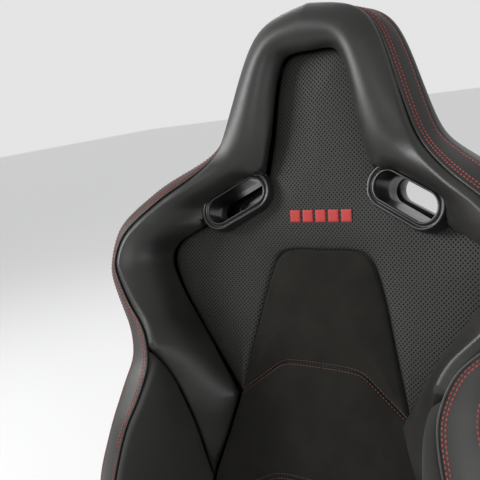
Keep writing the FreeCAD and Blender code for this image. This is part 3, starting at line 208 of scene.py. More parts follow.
def padMesh(name, grid, seam, thickness, sides=(hands["left"],), middle=backrest["inside"]):
    # a closed pad: the grid is its front, and the back lies behind it by the thickness, which falls to
    # nothing at the seams; front, back and mirror images are welded along them
    rows, columns = grid.shape[:2]
    depth = thickness * smoothStep(seamDistance(grid, seam) / padding["hem"])
    back = grid - facingOut(grid, middle) * depth[..., None]
    layers = [layer * side for side in sides for layer in (grid, back)]
    points = np.concatenate([seat(layer).reshape(-1, 3) for layer in layers])
    uvs = np.concatenate([(layer[..., [0, 2]] * mm).reshape(-1, 2) for layer in layers])
    faces = np.concatenate([gridFaces(rows, columns, index * rows * columns) for index in range(len(layers))])
    return meshPiece(name, points, faces, uvs)


def tubeFaces(rows, columns, start=0, closed=False):
    # ring joined to ring; an open tube's two ends get a face each
    faces = gridFaces(rows, columns, start, closed, True).tolist()
    if not closed:
        faces.append(list(range(start, start + columns)))
        faces.append(list(range(start + (rows - 1) * columns, start + rows * columns)))
    return faces


def ringMesh(name, rings, closed=False, place=seat):
    # rings of a closed profile along a path
    return meshPiece(name, place(rings).reshape(-1, 3), tubeFaces(*rings.shape[:2], 0, closed))


def tubeRings(path, radius, columns=8):
    # circle of the radius round each point of the path, in the plane across it
    tangent = unit(np.gradient(path, axis=0))
    sideways = unit(np.cross(tangent, np.array([0.0, 1.0, 0.0])))
    outwards = unit(np.cross(sideways, tangent))
    turn = np.arange(columns)[None, :, None] * 2 * np.pi / columns
    circle = np.cos(turn) * sideways[:, None, :] + np.sin(turn) * outwards[:, None, :]
    return path[:, None, :] + radius * circle


def newMaterial(name):
    material = bpy.data.materials.new(name)
    material.use_nodes = True
    tree = material.node_tree
    tree.nodes.clear()
    output = tree.nodes.new("ShaderNodeOutputMaterial")
    shader = tree.nodes.new("ShaderNodeBsdfPrincipled")
    tree.links.new(shader.outputs["BSDF"], output.inputs["Surface"])
    return material, tree, shader


def patternSpace(tree, scale=(1, 1, 1), uv=False):
    coordinates = tree.nodes.new("ShaderNodeTexCoord")
    mapping = tree.nodes.new("ShaderNodeMapping")
    mapping.inputs["Scale"].default_value = scale
    tree.links.new(coordinates.outputs["UV" if uv else "Object"], mapping.inputs["Vector"])
    return mapping.outputs["Vector"]


def noise(tree, vector, scale, detail=3.0, roughness=0.5):
    node = tree.nodes.new("ShaderNodeTexNoise")
    node.inputs["Scale"].default_value = scale
    node.inputs["Detail"].default_value = detail
    node.inputs["Roughness"].default_value = roughness
    tree.links.new(vector, node.inputs["Vector"])
    return node.outputs["Fac"]


def cells(tree, vector, scale, feature="DISTANCE_TO_EDGE"):
    node = tree.nodes.new("ShaderNodeTexVoronoi")
    node.feature = feature
    node.inputs["Scale"].default_value = scale
    tree.links.new(vector, node.inputs["Vector"])
    return node.outputs["Distance"]


def ramp(tree, value, low, high, fromLow=0.0, fromHigh=1.0):
    node = tree.nodes.new("ShaderNodeMapRange")
    for socket, number in (("From Min", fromLow), ("From Max", fromHigh), ("To Min", low), ("To Max", high)):
        node.inputs[socket].default_value = number
    tree.links.new(value, node.inputs["Value"])
    return node.outputs["Result"]


def mathNode(tree, operation, first, second=None):
    node = tree.nodes.new("ShaderNodeMath")
    node.operation = operation
    for socket, value in zip(node.inputs, (first, second)):
        if isinstance(value, (int, float)):
            socket.default_value = value
        elif value is not None:
            tree.links.new(value, socket)
    return node.outputs["Value"]


def blendColour(tree, factor, low, high):
    node = tree.nodes.new("ShaderNodeMix")
    node.data_type = "RGBA"
    tree.links.new(factor, node.inputs["Factor"])
    for socket, value in ((node.inputs["A"], low), (node.inputs["B"], high)):
        if isinstance(value, tuple):
            socket.default_value = (*value, 1.0)
        else:
            tree.links.new(value, socket)
    return node.outputs["Result"]


def bump(tree, shader, height, strength, distance, under=None):
    node = tree.nodes.new("ShaderNodeBump")
    node.inputs["Strength"].default_value = strength
    node.inputs["Distance"].default_value = distance
    tree.links.new(height, node.inputs["Height"])
    if under is not None:
        tree.links.new(under, node.inputs["Normal"])
    tree.links.new(node.outputs["Normal"], shader.inputs["Normal"])
    return node.outputs["Normal"]


leather = {
    "tone": (0.021, 0.0205, 0.0195), "worn": (0.030, 0.029, 0.027), "roughness": 0.40, "shine": 0.35,
    "grain": 0.0011, "hole": 0.0011, "pitch": 0.0053,  # metres: pebbles, and the holes of the perforated one
}


def leatherette(name, tone=leather["tone"], worn=leather["worn"], roughness=leather["roughness"],
                perforated=False):
    # pebbled grain from cells and noise; perforation is a staggered grid of holes on the piece's own UV map, and
    # each hole is painted near black as painted shade down in it
    material, tree, shader = newMaterial(name)
    spot = patternSpace(tree)
    pebble = ramp(tree, cells(tree, spot, 1 / leather["grain"]), 0.0, 1.0, 0.0, 0.35)
    fine = noise(tree, spot, 2600, 2.0)
    patches = noise(tree, spot, 14, 3.0)
    colour = blendColour(tree, ramp(tree, patches, 0.0, 1.0, 0.35, 0.7), tone, worn)
    height = mathNode(tree, "ADD", pebble, mathNode(tree, "MULTIPLY", fine, 0.35))
    rough = ramp(tree, patches, roughness - 0.05, roughness + 0.06, 0.3, 0.7)
    if perforated:
        hole, pitch = leather["hole"], leather["pitch"]
        flat = patternSpace(tree, (1 / pitch, 1 / pitch, 1), uv=True)
        parts = []
        for shift in (0.0, 0.5):
            moved = tree.nodes.new("ShaderNodeVectorMath")
            moved.operation = "ADD"
            moved.inputs[1].default_value = (shift, shift, 0)
            tree.links.new(flat, moved.inputs[0])
            wrapped = tree.nodes.new("ShaderNodeVectorMath")
            wrapped.operation = "FRACTION"
            tree.links.new(moved.outputs["Vector"], wrapped.inputs[0])
            apart = tree.nodes.new("ShaderNodeVectorMath")
            apart.operation = "DISTANCE"
            apart.inputs[1].default_value = (0.5, 0.5, 0)
            tree.links.new(wrapped.outputs["Vector"], apart.inputs[0])
            parts.append(apart.outputs["Value"])
        gap = mathNode(tree, "MINIMUM", parts[0], parts[1])
        solid = ramp(tree, gap, 0.0, 1.0, hole / pitch * 0.8, hole / pitch * 1.15)
        rough = mathNode(tree, "MAXIMUM", rough, mathNode(tree, "SUBTRACT", 1.0, solid))
        # painted shade: the holes get a near-black colour for the shade down in them, and full roughness above
        colour = blendColour(tree, solid, (0.0015, 0.0015, 0.0015), colour)
        height = mathNode(tree, "ADD", height, mathNode(tree, "MULTIPLY", solid, 3.0))
    tree.links.new(colour, shader.inputs["Base Color"])
    tree.links.new(rough, shader.inputs["Roughness"])
    shader.inputs["Specular IOR Level"].default_value = leather["shine"]
    bump(tree, shader, height, 0.35, 0.00012)
    return material


def suedeCloth(name, tone=(0.010, 0.0096, 0.0078), brushed=(0.017, 0.0162, 0.0135)):
    # short nap: fine noise for fibres, broad noise for where the nap lies the other way
    material, tree, shader = newMaterial(name)
    spot = patternSpace(tree)
    nap = noise(tree, spot, 30, 4.0, 0.6)
    fibre = noise(tree, spot, 3200, 2.0, 0.7)
    mixed = mathNode(tree, "ADD", mathNode(tree, "MULTIPLY", nap, 0.6),
                     mathNode(tree, "MULTIPLY", fibre, 0.4))
    tree.links.new(blendColour(tree, ramp(tree, mixed, 0.0, 1.0, 0.38, 0.62), tone, brushed),
                   shader.inputs["Base Color"])
    shader.inputs["Roughness"].default_value = 0.93
    shader.inputs["Specular IOR Level"].default_value = 0.2
    shader.inputs["Sheen Weight"].default_value = 0.13
    shader.inputs["Sheen Roughness"].default_value = 0.45
    shader.inputs["Sheen Tint"].default_value = (0.62, 0.6, 0.55, 1)
    bump(tree, shader, fibre, 0.5, 0.0002)
    return material


def weave(name, tone=(0.017, 0.017, 0.0155), high=(0.026, 0.026, 0.0235), thread=0.0009):
    # fine cloth: small cells stand for the yarn crossings, in the bump and in the colour, where their dark edges
    # are painted shade between the yarns; broad noise for uneven yarn
    material, tree, shader = newMaterial(name)
    spot = patternSpace(tree)
    yarnReliefAndShade = ramp(tree, cells(tree, spot, 1 / thread), 0.0, 1.0, 0.0, 0.4)
    slub = noise(tree, patternSpace(tree, (1, 1, 0.25)), 900, 3.0, 0.6)
    patches = noise(tree, spot, 30, 4.0, 0.6)
    mixed = mathNode(tree, "MULTIPLY", mathNode(tree, "ADD", yarnReliefAndShade, slub), patches)
    # painted shade: the colour is darker at the cells' edges, between the yarns, mixed with the random slub and
    # patches
    tree.links.new(blendColour(tree, ramp(tree, mixed, 0.0, 1.0, 0.2, 0.9), tone, high),
                   shader.inputs["Base Color"])
    shader.inputs["Roughness"].default_value = 0.78
    shader.inputs["Specular IOR Level"].default_value = 0.35
    shader.inputs["Sheen Weight"].default_value = 0.12
    shader.inputs["Sheen Roughness"].default_value = 0.4
    bump(tree, shader, mathNode(tree, "ADD", yarnReliefAndShade, slub), 0.4, 0.00015)
    return material


def moulded(name, tone, roughness, grain, strength, coat=0.0):
    # fine spark-eroded texture, its grain in metres, with slight scuffing
    material, tree, shader = newMaterial(name)
    spot = patternSpace(tree)
    texture = noise(tree, spot, 1 / grain, 2.0)
    scuff = noise(tree, spot, 22, 5.0, 0.65)
    scuffed = tuple(1.5 * c for c in tone)
    tree.links.new(blendColour(tree, ramp(tree, scuff, 0.0, 1.0, 0.45, 0.8), tone, scuffed),
                   shader.inputs["Base Color"])
    tree.links.new(ramp(tree, scuff, roughness - 0.04, roughness + 0.08, 0.3, 0.7), shader.inputs["Roughness"])
    shader.inputs["Coat Weight"].default_value = coat
    shader.inputs["Coat Roughness"].default_value = 0.18
    bump(tree, shader, texture, strength, 0.00012)
    return material


def metal(name, tone, roughness, brushed=(1, 60, 1)):
    # noise drawn out along the piece for rolled or brushed steel, and soft stains
    material, tree, shader = newMaterial(name)
    spot = patternSpace(tree)
    streak = noise(tree, patternSpace(tree, brushed), 40, 4.0, 0.6)
    stains = noise(tree, spot, 30, 4.0)
    dark = tuple(0.76 * c for c in tone)
    tree.links.new(blendColour(tree, ramp(tree, stains, 0.0, 1.0, 0.35, 0.65), dark, tone),
                   shader.inputs["Base Color"])
    tree.links.new(ramp(tree, streak, roughness - 0.07, roughness + 0.1, 0.3, 0.7), shader.inputs["Roughness"])
    shader.inputs["Metallic"].default_value = 1.0
    bump(tree, shader, streak, 0.12, 0.0001)
    return material


def threadMaterial(name, tone):
    # twisted thread: fine noise over the stitches
    material, tree, shader = newMaterial(name)
    spot = patternSpace(tree)
    patches = noise(tree, spot, 500, 2.0)
    tree.links.new(blendColour(tree, patches, tuple(0.6 * c for c in tone), tone), shader.inputs["Base Color"])
    shader.inputs["Roughness"].default_value = 0.6
    shader.inputs["Sheen Weight"].default_value = 0.15
    bump(tree, shader, noise(tree, spot, 3500, 1.0), 0.3, 0.0001)
    return material


materials = {
    "leather": leatherette("black_leatherette"),
    "perforated": leatherette("perforated_leatherette", (0.019, 0.019, 0.0168), (0.026, 0.026, 0.023), 0.56,
                              True),
    "suede": suedeCloth("black_suede"),
    "weave": weave("bolster_cloth"),
    "thread": threadMaterial("red_thread", (0.42, 0.06, 0.05)),
    "darkThread": threadMaterial("dull_red_thread", (0.16, 0.05, 0.042)),
    # painted highlight: the front welt's leatherette is painted about twice as light as the cover's, for the light
    # along its cord
    "welt": leatherette("welt_leatherette", (0.045, 0.044, 0.041), (0.06, 0.058, 0.054), 0.4),
    "bezel": moulded("satin_bezel", (0.014, 0.014, 0.0145), 0.3, 0.0004, 0.02, 0.3),
    "embroidery": threadMaterial("embroidery_thread", (0.62, 0.035, 0.03)),
}
print("stage: materials")


# the surface that the insert and the panels lie on: depth along the middle, and how hard it dishes sideways
centreLine = {
    "rise": (20, 82, 195, 272, 360, 468, 560, 641, 703, 727, 790),
    "depth": (30, 38, 42, 34, 30, 25, 31, 38, 44, 46, 47),
}
dish = {
    "rise": (20, 82, 191, 248, 306, 360, 419, 468, 530, 588, 628, 727),
    "bend": (0.5, 1.0, 0.0, 1.4, 3.8, 4.5, 5.0, 5.6, 5.8, 5.0, 2.5, 0.0),
}


def baseDepth(across, rise):
    # depth of the flat middle: the centre line's depth plus a dish that grows with the square of across
    shape = np.shape(rise)
    middle = cubic(centreLine["rise"], centreLine["depth"], np.ravel(rise)).reshape(shape)
    bend = np.interp(np.ravel(rise), dish["rise"], dish["bend"]).reshape(shape) * 1e-4
    return middle + bend * np.asarray(across, float) ** 2


def onBase(flat):
    # (across, rise) pairs laid on the base surface
    flat = np.asarray(flat, float)
    return np.stack([flat[..., 0], baseDepth(flat[..., 0], flat[..., 1]), flat[..., 1]], axis=-1)


slot = {
    "across": 115.5, "rise": 551.5, "depth": 41,  # middle of the slot on the sitter's left
    "slant": 27.5, "tilt": 9,  # degrees: down outwards, and its outer end forwards
    "straight": 26,  # half of the stadium's straight sides
    "seamRing": 22.0, "pressRing": 25.0,  # reach of the covers' cut edge, and of the line the ring presses in
    "top": 172, "bottom": 352,  # degrees round the ring where the insert leaves it
}


def slotAxes():
    # length, outward and height directions of the harness slot on the sitter's left
    slant, tilt = math.radians(slot["slant"]), math.radians(slot["tilt"])
    length = np.array([math.cos(tilt) * math.cos(slant), math.sin(tilt), -math.cos(tilt) * math.sin(slant)])
    outward = np.array([-math.sin(tilt) * math.cos(slant), math.cos(tilt), math.sin(tilt) * math.sin(slant)])
    height = np.array([math.sin(slant), 0.0, math.cos(slant)])
    return length, outward, height


def stadium(turns, reach):
    # (along, up) on a stadium: 60 degrees of turn for half of each straight, and the rest for the round ends
    degrees = np.degrees(np.asarray(turns, float)) % 360
    stops = (0, 60, 120, 240, 300, 360)
    middle = np.interp(degrees, stops, np.array([1, 1, -1, -1, 1, 1]) * slot["straight"])
    angle = np.radians(np.interp(degrees, stops, (0, 90, 90, 270, 270, 360)))
    return middle + reach * np.cos(angle), reach * np.sin(angle)


def slotRing(turns, reach, height=0.0):
    # stadium of the reach round the harness slot, raised over the flange plane; turn 0 is its outer end
    length, outward, up = slotAxes()
    along, above = stadium(turns, reach)
    centre = np.array([slot["across"], slot["depth"], slot["rise"]], float)
    return (centre + along[..., None] * length + above[..., None] * up
            + np.asarray(height, float)[..., None] * outward)


def slotEdge(turns):
    # (across, rise) of the covers' cut edge under the ring
    return slotRing(np.radians(turns), slot["seamRing"])[:, [0, 2]]


# the insert's seam with the leather, from the crown to its lower tip, and the suede panel's edge
headSeam = [(0, 727), (28, 727), (47, 713), (58, 675), (65, 630)]
bodySeam = [(198, 508), (218, 482), (214, 452), (198, 419), (176, 386), (157, 360), (136, 333), (115, 306)]
panelEdge = [(0, 490), (36, 490), (60, 484), (73, 462), (84, 427), (92, 396), (99, 369), (107, 338), (115, 306)]
lowerEdge = [(115, 306), (125, 277), (135, 248), (145, 219), (154, 191), (162, 160), (169, 130), (180, 100),
             (187, 76), (187, 52), (180, 28)]
# the leather's outer seam, the edge band's stitched edge and the back cover's rim: (across, depth, rise)
frontSeam = [(0, 46, 776), (44, 46, 767), (78, 46, 744), (103, 49, 688), (125, 54, 632), (148, 65, 598),
             (184, 87, 568), (213, 97, 547), (240, 107, 523), (256, 113, 501), (262, 117, 476),
             (255, 119, 453), (228, 122, 417), (201, 126, 390), (187, 131, 358), (186, 137, 333),
             (193, 144, 303), (203, 150, 275), (212, 154, 240), (220, 157, 195), (224, 151, 150),
             (215, 129, 104), (194, 92, 66), (174, 56, 44)]
bandEdge = [(0, 25, 779), (48, 26, 770), (88, 26, 747), (117, 29, 691), (139, 35, 637), (163, 48, 606),
            (202, 70, 580), (232, 84, 557), (260, 97, 530), (274, 104, 503), (279, 107, 472),
            (274, 109, 446), (250, 113, 410), (230, 119, 384), (221, 124, 355), (225, 130, 330),
            (232, 136, 302), (240, 141, 272), (248, 145, 238), (257, 147, 195), (257, 141, 148),
            (243, 117, 98), (212, 74, 62), (184, 40, 42)]
rearRim = [(0, 14, 775), (46, 14, 767), (85, 14, 745), (112, 14, 690), (135, 14, 636), (159, 14, 605),
           (198, 14, 579), (230, 14, 556), (258, 14, 529), (272, 14, 503), (277, 14, 470),
           (272, 14, 445), (249, 14, 410), (229, 14, 384), (220, 14, 356), (224, 14, 330),
           (231, 14, 302), (239, 14, 272), (247, 14, 238), (256, 14, 195), (256, 14, 148),
           (243, 14, 100), (218, 14, 62), (192, 14, 40)]
# leather's lower seam with the bolster cloth starts on the front seam, at this station of it
meetAt = 13.65
clothSeam = [tuple(through(frontSeam, np.array([meetAt]))[0]), (178, 101, 332), (169, 86, 303), (163, 72, 272),
             (159, 60, 240), (156, 50, 212), (154, 42, 191)]
perStation = 20


def stationRows(count, each=perStation):
    # station numbers from the first to the last, in equal steps
    return np.linspace(0, count - 1, each * (count - 1) + 1)


def sampled(stations):
    return through(stations, stationRows(len(stations)))


def seamLine(stations):
    # (across, rise) stations as a densely walked 3D line on the base surface
    return evenly(onBase(sampled(stations)), 1.0)


def seamFall(distance, wide=1.0):
    # how far the thread pulls a cover in at distance d: groove * e^-(d / grooveReach)^2, and a softer
    # pull * wide * e^-(d / (pullReach * wide))
    return (padding["groove"] * np.exp(-(distance / padding["grooveReach"]) ** 2)
            + padding["pull"] * wide * np.exp(-distance / (padding["pullReach"] * wide)))


def cushioned(grid, seams, crown=0.0, crownReach=60.0):
    # a cover over foam: it falls to its seams and crowns between them by a smooth step; each seam has its own
    # share of the fall and width of pull, and where two meet the deeper fall counts
    distances = [seamDistance(grid, seam) for seam, share, wide in seams]
    falls = [share * seamFall(far, wide) for far, (seam, share, wide) in zip(distances, seams)]
    lift = crown * smoothStep(np.minimum.reduce(distances) / crownReach)
    normal = gridNormals(grid)
    normal *= np.sign(normal[..., 1:2].mean())
    return grid + normal * (lift - np.maximum.reduce(falls))[..., None]


def stripGrid(inner, outer, bulge, crest, sharp, columns):
    # ruled strip between two seams, raised along its normal by bulge * sin(pi v^crest)^sharp; the normals are
    # evened out along the strip, and where it narrows to a point they come from its neighbours
    v = nearEnds(columns, 0.75)
    grid = inner[:, None, :] * (1 - v)[None, :, None] + outer[:, None, :] * v[None, :, None]
    across = outer - inner
    width = np.linalg.norm(across, axis=1)
    tangent = np.gradient((inner + outer) / 2, axis=0)
    normal = np.cross(tangent, across)
    sound = width > 2.0
    window = 13
    normal = unit(normal * np.sign(normal[:, 1:2]))
    index = np.arange(len(normal))
    for axis in range(3):
        normal[:, axis] = np.interp(index, index[sound], normal[sound, axis])
        padded = np.pad(normal[:, axis], window // 2, mode="edge")
        normal[:, axis] = np.convolve(padded, np.ones(window) / window, mode="valid")
    normal = unit(normal)
    hump = np.sin(np.pi * v[None, :] ** crest[:, None]) ** sharp[:, None]
    hump[:, [0, -1]] = 0
    grid += normal[:, None, :] * (bulge[:, None] * hump)[..., None]
    return stretched(grid, v)


def stretched(grid, v, window=31):
    # a cover pulled taut evens out between its seams: a running mean along the rows, none of it at the seams
    padded = np.pad(grid, ((window // 2, window // 2), (0, 0), (0, 0)), mode="reflect", reflect_type="odd")
    total = np.cumsum(np.concatenate([np.zeros((1,) + grid.shape[1:]), padded]), axis=0)
    mean = (total[window:] - total[:-window]) / window
    share = (np.sin(np.pi * v) ** 1.5)[None, :, None]
    return grid * (1 - share) + mean * share


# one value per station of the inner seam: where its row ends on the front seam and then on the cloth seam,
# how far the roll bulges, where its crest lies across (1 is the middle) and how sharply it rises
shoe = {
    "onFront": (0, 1, 2, 3, 3.5, 4.15, 4.85, 5.65, 6.8, 7.85, 9, 10, 11, 12, 12.9, meetAt),
    "onCloth": (0, 0.8, 2, 3, 4, 6),
    "bulge": [19, 19, 19, 19, 17.5, 12.5, 7, 4.5, 4.5, 5, 8, 10.5, 12, 11, 10.5, 10, 9, 7.5, 6, 4, 0],
    "crest": [0.9, 0.85, 0.8, 0.85, 0.95, 1.15, 1.35, 1.45, 1.5, 1.5, 1.5, 1.4, 1.25, 1.1, 1, 0.95, 0.95]
             + [1] * 4,
    "sharp": [0.74] * 5 + [0.85, 1.1, 1.2, 1.2, 1.1, 1.0, 0.9] + [0.85] * 7 + [0.9] * 2,
    "ring": (5, 9),  # the stations where it meets and leaves the harness ring
    "tip": 17,  # the insert's lower tip
    "columns": 42, "thick": 9.0,
}
insert = {
    "middle": [(0, 727), (0, 716), (0, 698), (0, 665), (0, 618), (0, 560), (0, 490)],
    # past the middle line's foot its rows end on the suede panel's edge
    "stations": (6, 7, 8, 9, 10, 11, 13, 15, 17), "onPanel": (0, 0.9, 2.1, 4.0, 5.0, 5.7, 6.5, 7.3, 8),
    "columns": 46, "thick": 7.0,
}


def ringRows(outer, at, first, last, corners):
    # spline rows through the outer stations, with a true arc of the slot's ring between its two stations
    rows = through(outer, at, corners)
    start, end = shoe["ring"]
    ring = (at >= start) & (at <= end)
    rows[ring] = slotEdge(np.interp(at[ring], (start, end), (first, last)))
    return rows


def horseshoe():
    # strip from the insert's seam to the leather's outer seam, over the head and down to the cloth seam's foot
    inner = [*headSeam, *slotEdge((slot["top"], 130, 90, 50, -8)), *bodySeam]
    inner += [(125, 277), (135, 248), (154, 191)]
    at = stationRows(len(inner), 21)
    inside = onBase(ringRows(inner, at, slot["top"], -8, (*shoe["ring"], shoe["tip"])))
    meet = len(shoe["onFront"]) - 1
    upper = at <= meet
    cloth = meet + np.arange(len(shoe["onCloth"]))
    outside = np.concatenate([through(frontSeam, np.interp(at[upper], np.arange(meet + 1), shoe["onFront"])),
                              through(clothSeam, np.interp(at[~upper], cloth, shoe["onCloth"]))])
    inside[-1] = outside[-1]
    values = [np.interp(at, np.arange(len(inner)), shoe[key]) for key in ("bulge", "crest", "sharp")]
    return stripGrid(inside, outside, *values, shoe["columns"])


def insertGrid():
    # ruled rows from the middle line and the suede panel's edge out to the leather, laid on the base surface
    outer = [*headSeam, *slotEdge((slot["top"], 220, 262, 307, slot["bottom"])), *bodySeam]
    at = stationRows(len(outer))
    v = nearEnds(insert["columns"], 0.7)[None, :, None]
    foot = insert["stations"][0]
    inside = through(insert["middle"], np.minimum(at, foot))
    onPanel = np.interp(at[at > foot], insert["stations"], insert["onPanel"])
    inside[at > foot] = through(panelEdge, onPanel)
    outside = ringRows(outer, at, slot["top"], slot["bottom"], shoe["ring"])
    return onBase(inside[:, None, :] * (1 - v) + outside[:, None, :] * v)


def coons(top, bottom, left, right):
    # surface between four edges: the two ruled surfaces added, less the bilinear one through the corners
    u, v = np.linspace(0, 1, len(left))[:, None, None], np.linspace(0, 1, len(top))[None, :, None]
    ruledDown = (1 - u) * top[None] + u * bottom[None]
    ruledAcross = (1 - v) * left[:, None] + v * right[:, None]
    corners = ((1 - u) * (1 - v) * top[0] + (1 - u) * v * top[-1]
               + u * (1 - v) * bottom[0] + u * v * bottom[-1])
    return ruledDown + ruledAcross - corners


def spread(path, count, amount=0.6):
    # the same line with points closer together at its ends
    walked = walkedLength(path)
    return pointsAt(nearEnds(count, amount) * walked[-1], walked, path)


# the suede panels' shoulder is a station of the upper edge, and each arc starts on the middle line
panels = {
    "upperArc": [(0, 354), (22, 354), (44, 353), (58, 349), (72, 339), (93, 323), (115, 306)],
    "lowerArc": [(0, 216), (22, 216), (46, 215), (62, 211), (80, 202), (120, 182), (160, 166)],
    "foot": [(0, 24), (60, 24), (120, 25), (180, 28)],
    "shoulder": 2, "crown": 4.0, "crownReach": 45.0, "thick": 7.0,
}


def panelGrids():
    # three surfaces between a top line, a bottom line, the middle line and the panel's edge
    edge, lower = sampled(panelEdge), sampled(lowerEdge)
    upperArc, lowerArc, foot = (sampled(panels[key]) for key in ("upperArc", "lowerArc", "foot"))
    turn = panels["shoulder"] * perStation
    meet = int(np.abs(lower[:, 1] - lowerArc[-1, 1]).argmin())
    lowerArc[-1] = lower[meet]

    def panel(top, bottom, edgeLine, columns, rows):
        middle = np.array([top[0], bottom[0]])
        return coons(spread(top, columns, 0.5), spread(bottom, columns, 0.5), spread(middle, rows),
                     spread(edgeLine, rows))

    return {"centre_panel_upper": panel(edge[:turn + 1], upperArc, edge[turn:], 40, 60),
            "centre_panel_middle": panel(upperArc, lowerArc, lower[:meet + 1], 46, 60),
            "lumbar_panel": panel(lowerArc, foot, lower[meet:], 46, 70)}


def finishPiece(piece, material, body, replaced=()):
    piece.data.materials.append(materials[material])
    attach(piece, body)
    if replaced:
        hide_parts(*replaced)
    return piece


def bothRims(grid):
    return np.concatenate([grid[:, 0], grid[:, -1]])


def overTheHead(grid):
    # the right half's rows from its foot up, and then the left half's down
    return np.concatenate([(grid * hands["right"])[:0:-1], grid])


insertSeam = np.concatenate([seamLine([*headSeam, *slotEdge((slot["top"],))]),
                             seamLine([*slotEdge((slot["bottom"],)), *bodySeam])])
panelSeam = seamLine(panelEdge)
slotSeam = slotRing(np.linspace(0, 2 * np.pi, 241), slot["pressRing"])

# each seam: its line, its share of the fall and the width of its pull
shoeHalf = horseshoe()
shoeHalf = cushioned(shoeHalf, ((shoeHalf[:, 0], 1.0, 1.0), (shoeHalf[:, -1], 0.4, 1.0), (slotSeam, 0.6, 2.0)))
wholeShoe = overTheHead(shoeHalf)
finishPiece(padMesh("leather_horseshoe", wholeShoe, bothRims(wholeShoe), shoe["thick"]), "leather", "backrest",
            ("head_bolster", "shoulder_bolster_left", "shoulder_bolster_right"))

insertHalf = cushioned(insertGrid(), ((insertSeam, 0.9, 2.2), (panelSeam, 0.9, 1.2)))
insertRim = np.concatenate([insertHalf[:, -1], insertHalf[insert["stations"][0] * perStation:, 0]])
finishPiece(padMesh("perforated_insert_cover", insertHalf, insertRim, insert["thick"], bothHands), "perforated",
            "backrest", ("perforated_insert",))


def panelRim(surface):
    return np.concatenate([surface[0], surface[-1], surface[:, -1]])


panelSurfaces = {}
for panelName, flatGrid in panelGrids().items():
    surface = onBase(flatGrid)
    surface = cushioned(surface, ((panelRim(surface), 0.9, 1.2),), panels["crown"], panels["crownReach"])
    panelSurfaces[panelName] = surface
    panel = padMesh(panelName + "_cover", surface, panelRim(surface), panels["thick"], bothHands)
    finishPiece(panel, "suede", "backrest", (panelName,))
print("stage: leather, insert and suede panels")

# one value per station of the cloth's inner edge: where its row ends on the front seam, and its bulge
ribCloth = {
    "onFront": (meetAt, 14.45, 15.7, 17, 18, 19, 20, 21, 21.9, 23),
    "bulge": [0, 5, 9, 12, 14, 17, 19, 17, 10, 3],
    "foot": [(169, 130), (182, 94), (187, 64), (184, 40)], "corner": 5, "crest": 1.25, "sharp": 0.85,
    "columns": 36, "thick": 8.0,
}


def clothGrid():
    # strip from the cloth seam and the lumbar panel's edge out to the front seam
    inner = [*clothSeam[:5], clothSeam[-1], *onBase(np.array(ribCloth["foot"]))]
    at = stationRows(len(inner))
    inside = through(inner, at, (ribCloth["corner"],))
    outside = through(frontSeam, np.interp(at, np.arange(len(inner)), ribCloth["onFront"]))
    bulge = np.interp(at, np.arange(len(inner)), ribCloth["bulge"])
    crest, sharp = np.full(len(at), ribCloth["crest"]), np.full(len(at), ribCloth["sharp"])
    return stripGrid(inside, outside, bulge, crest, sharp, ribCloth["columns"])


cloth = clothGrid()
cloth = cushioned(cloth, ((cloth[:, 0], 0.5, 1.0), (cloth[:, -1], 0.4, 1.0)))
for sideName, hand in hands.items():
    rib = padMesh(f"rib_bolster_cover_{sideName}", cloth, bothRims(cloth), ribCloth["thick"], (hand,))
    finishPiece(rib, "weave", "backrest", (f"rib_bolster_{sideName}",))

# bulge, columns and thickness of each strip round the side
edgeBand = {"bulge": 2.2, "columns": 16, "thick": 4.0}
sidePanel = {"bulge": 4.0, "columns": 26, "thick": 6.0}


def sideStrip(start, end, form):
    # ruled strip between two lines, raised outwards by bulge * sin(pi v)^0.7
    v = nearEnds(form["columns"], 0.7)
    grid = start[:, None] * (1 - v)[None, :, None] + end[:, None] * v[None, :, None]
    normal = np.cross(np.gradient((start + end) / 2, axis=0), end - start)
    outwards = (start + end) / 2 - np.array(backrest["inside"])
    normal = unit(normal * np.sign((normal * outwards).sum(axis=1, keepdims=True)))
    hump = form["bulge"] * np.sin(np.pi * v) ** 0.7
    hump[[0, -1]] = 0
    return grid + normal[:, None, :] * hump[None, :, None]


sideRows = np.linspace(0, len(frontSeam) - 1, 421)
frontLine, bandLine, rimLine = (through(line, sideRows) for line in (frontSeam, bandEdge, rearRim))
band, flank = sideStrip(frontLine, bandLine, edgeBand), sideStrip(bandLine, rimLine, sidePanel)
for pieceName, grid, form in (("edge_band", band, edgeBand), ("side_panel", flank, sidePanel)):
    whole = overTheHead(grid)
    finishPiece(padMesh(pieceName, whole, bothRims(whole), form["thick"]), "leather", "backrest")
print("stage: bolster cloth, edge band and side panels")

shell = {
    "flat": -40.0, "rim": 14.0, "round": 15.0,  # depth of the back and of its rim, and how wide it rounds
    "inner": {"station": (0, 3, 8, 12, 16, 20, 23), "rise": (760, 700, 560, 440, 330, 160, 40)},
    "seam": 78.0,  # the sewn line's distance in from the rim
    "groove": (1.8, 2.2), "pull": (1.6, 9.0),  # how deep and how wide the sewn line falls
    "slotReach": 21.0, "slotDepths": (-60.0, 10.0),  # the cutter that opens each harness slot
    "rows": 241, "columns": 60, "thick": 3.0,
}


def backGrid():
    # from the rim in to the centre line; depth = rim - (rim - flat) * (1 - e^-(distance / round)^1.4)
    at = np.linspace(0, len(rearRim) - 1, shell["rows"])
    outer = through(rearRim, at)
    inner = np.stack([np.zeros(len(at)), np.full(len(at), shell["flat"]),
                      np.interp(at, shell["inner"]["station"], shell["inner"]["rise"])], axis=1)
    v = nearEnds(shell["columns"], 0.5)[None, :, None] ** 1.3
    grid = outer[:, None, :] * (1 - v) + inner[:, None, :] * v
    fromBehind = np.array([1, 0, 1])
    far = seamDistance(grid * fromBehind, evenly(outer, 2.0) * fromBehind)
    grid[..., 1] = shell["rim"] + (shell["flat"] - shell["rim"]) * (1 - np.exp(-(far / shell["round"]) ** 1.4))
    return grid


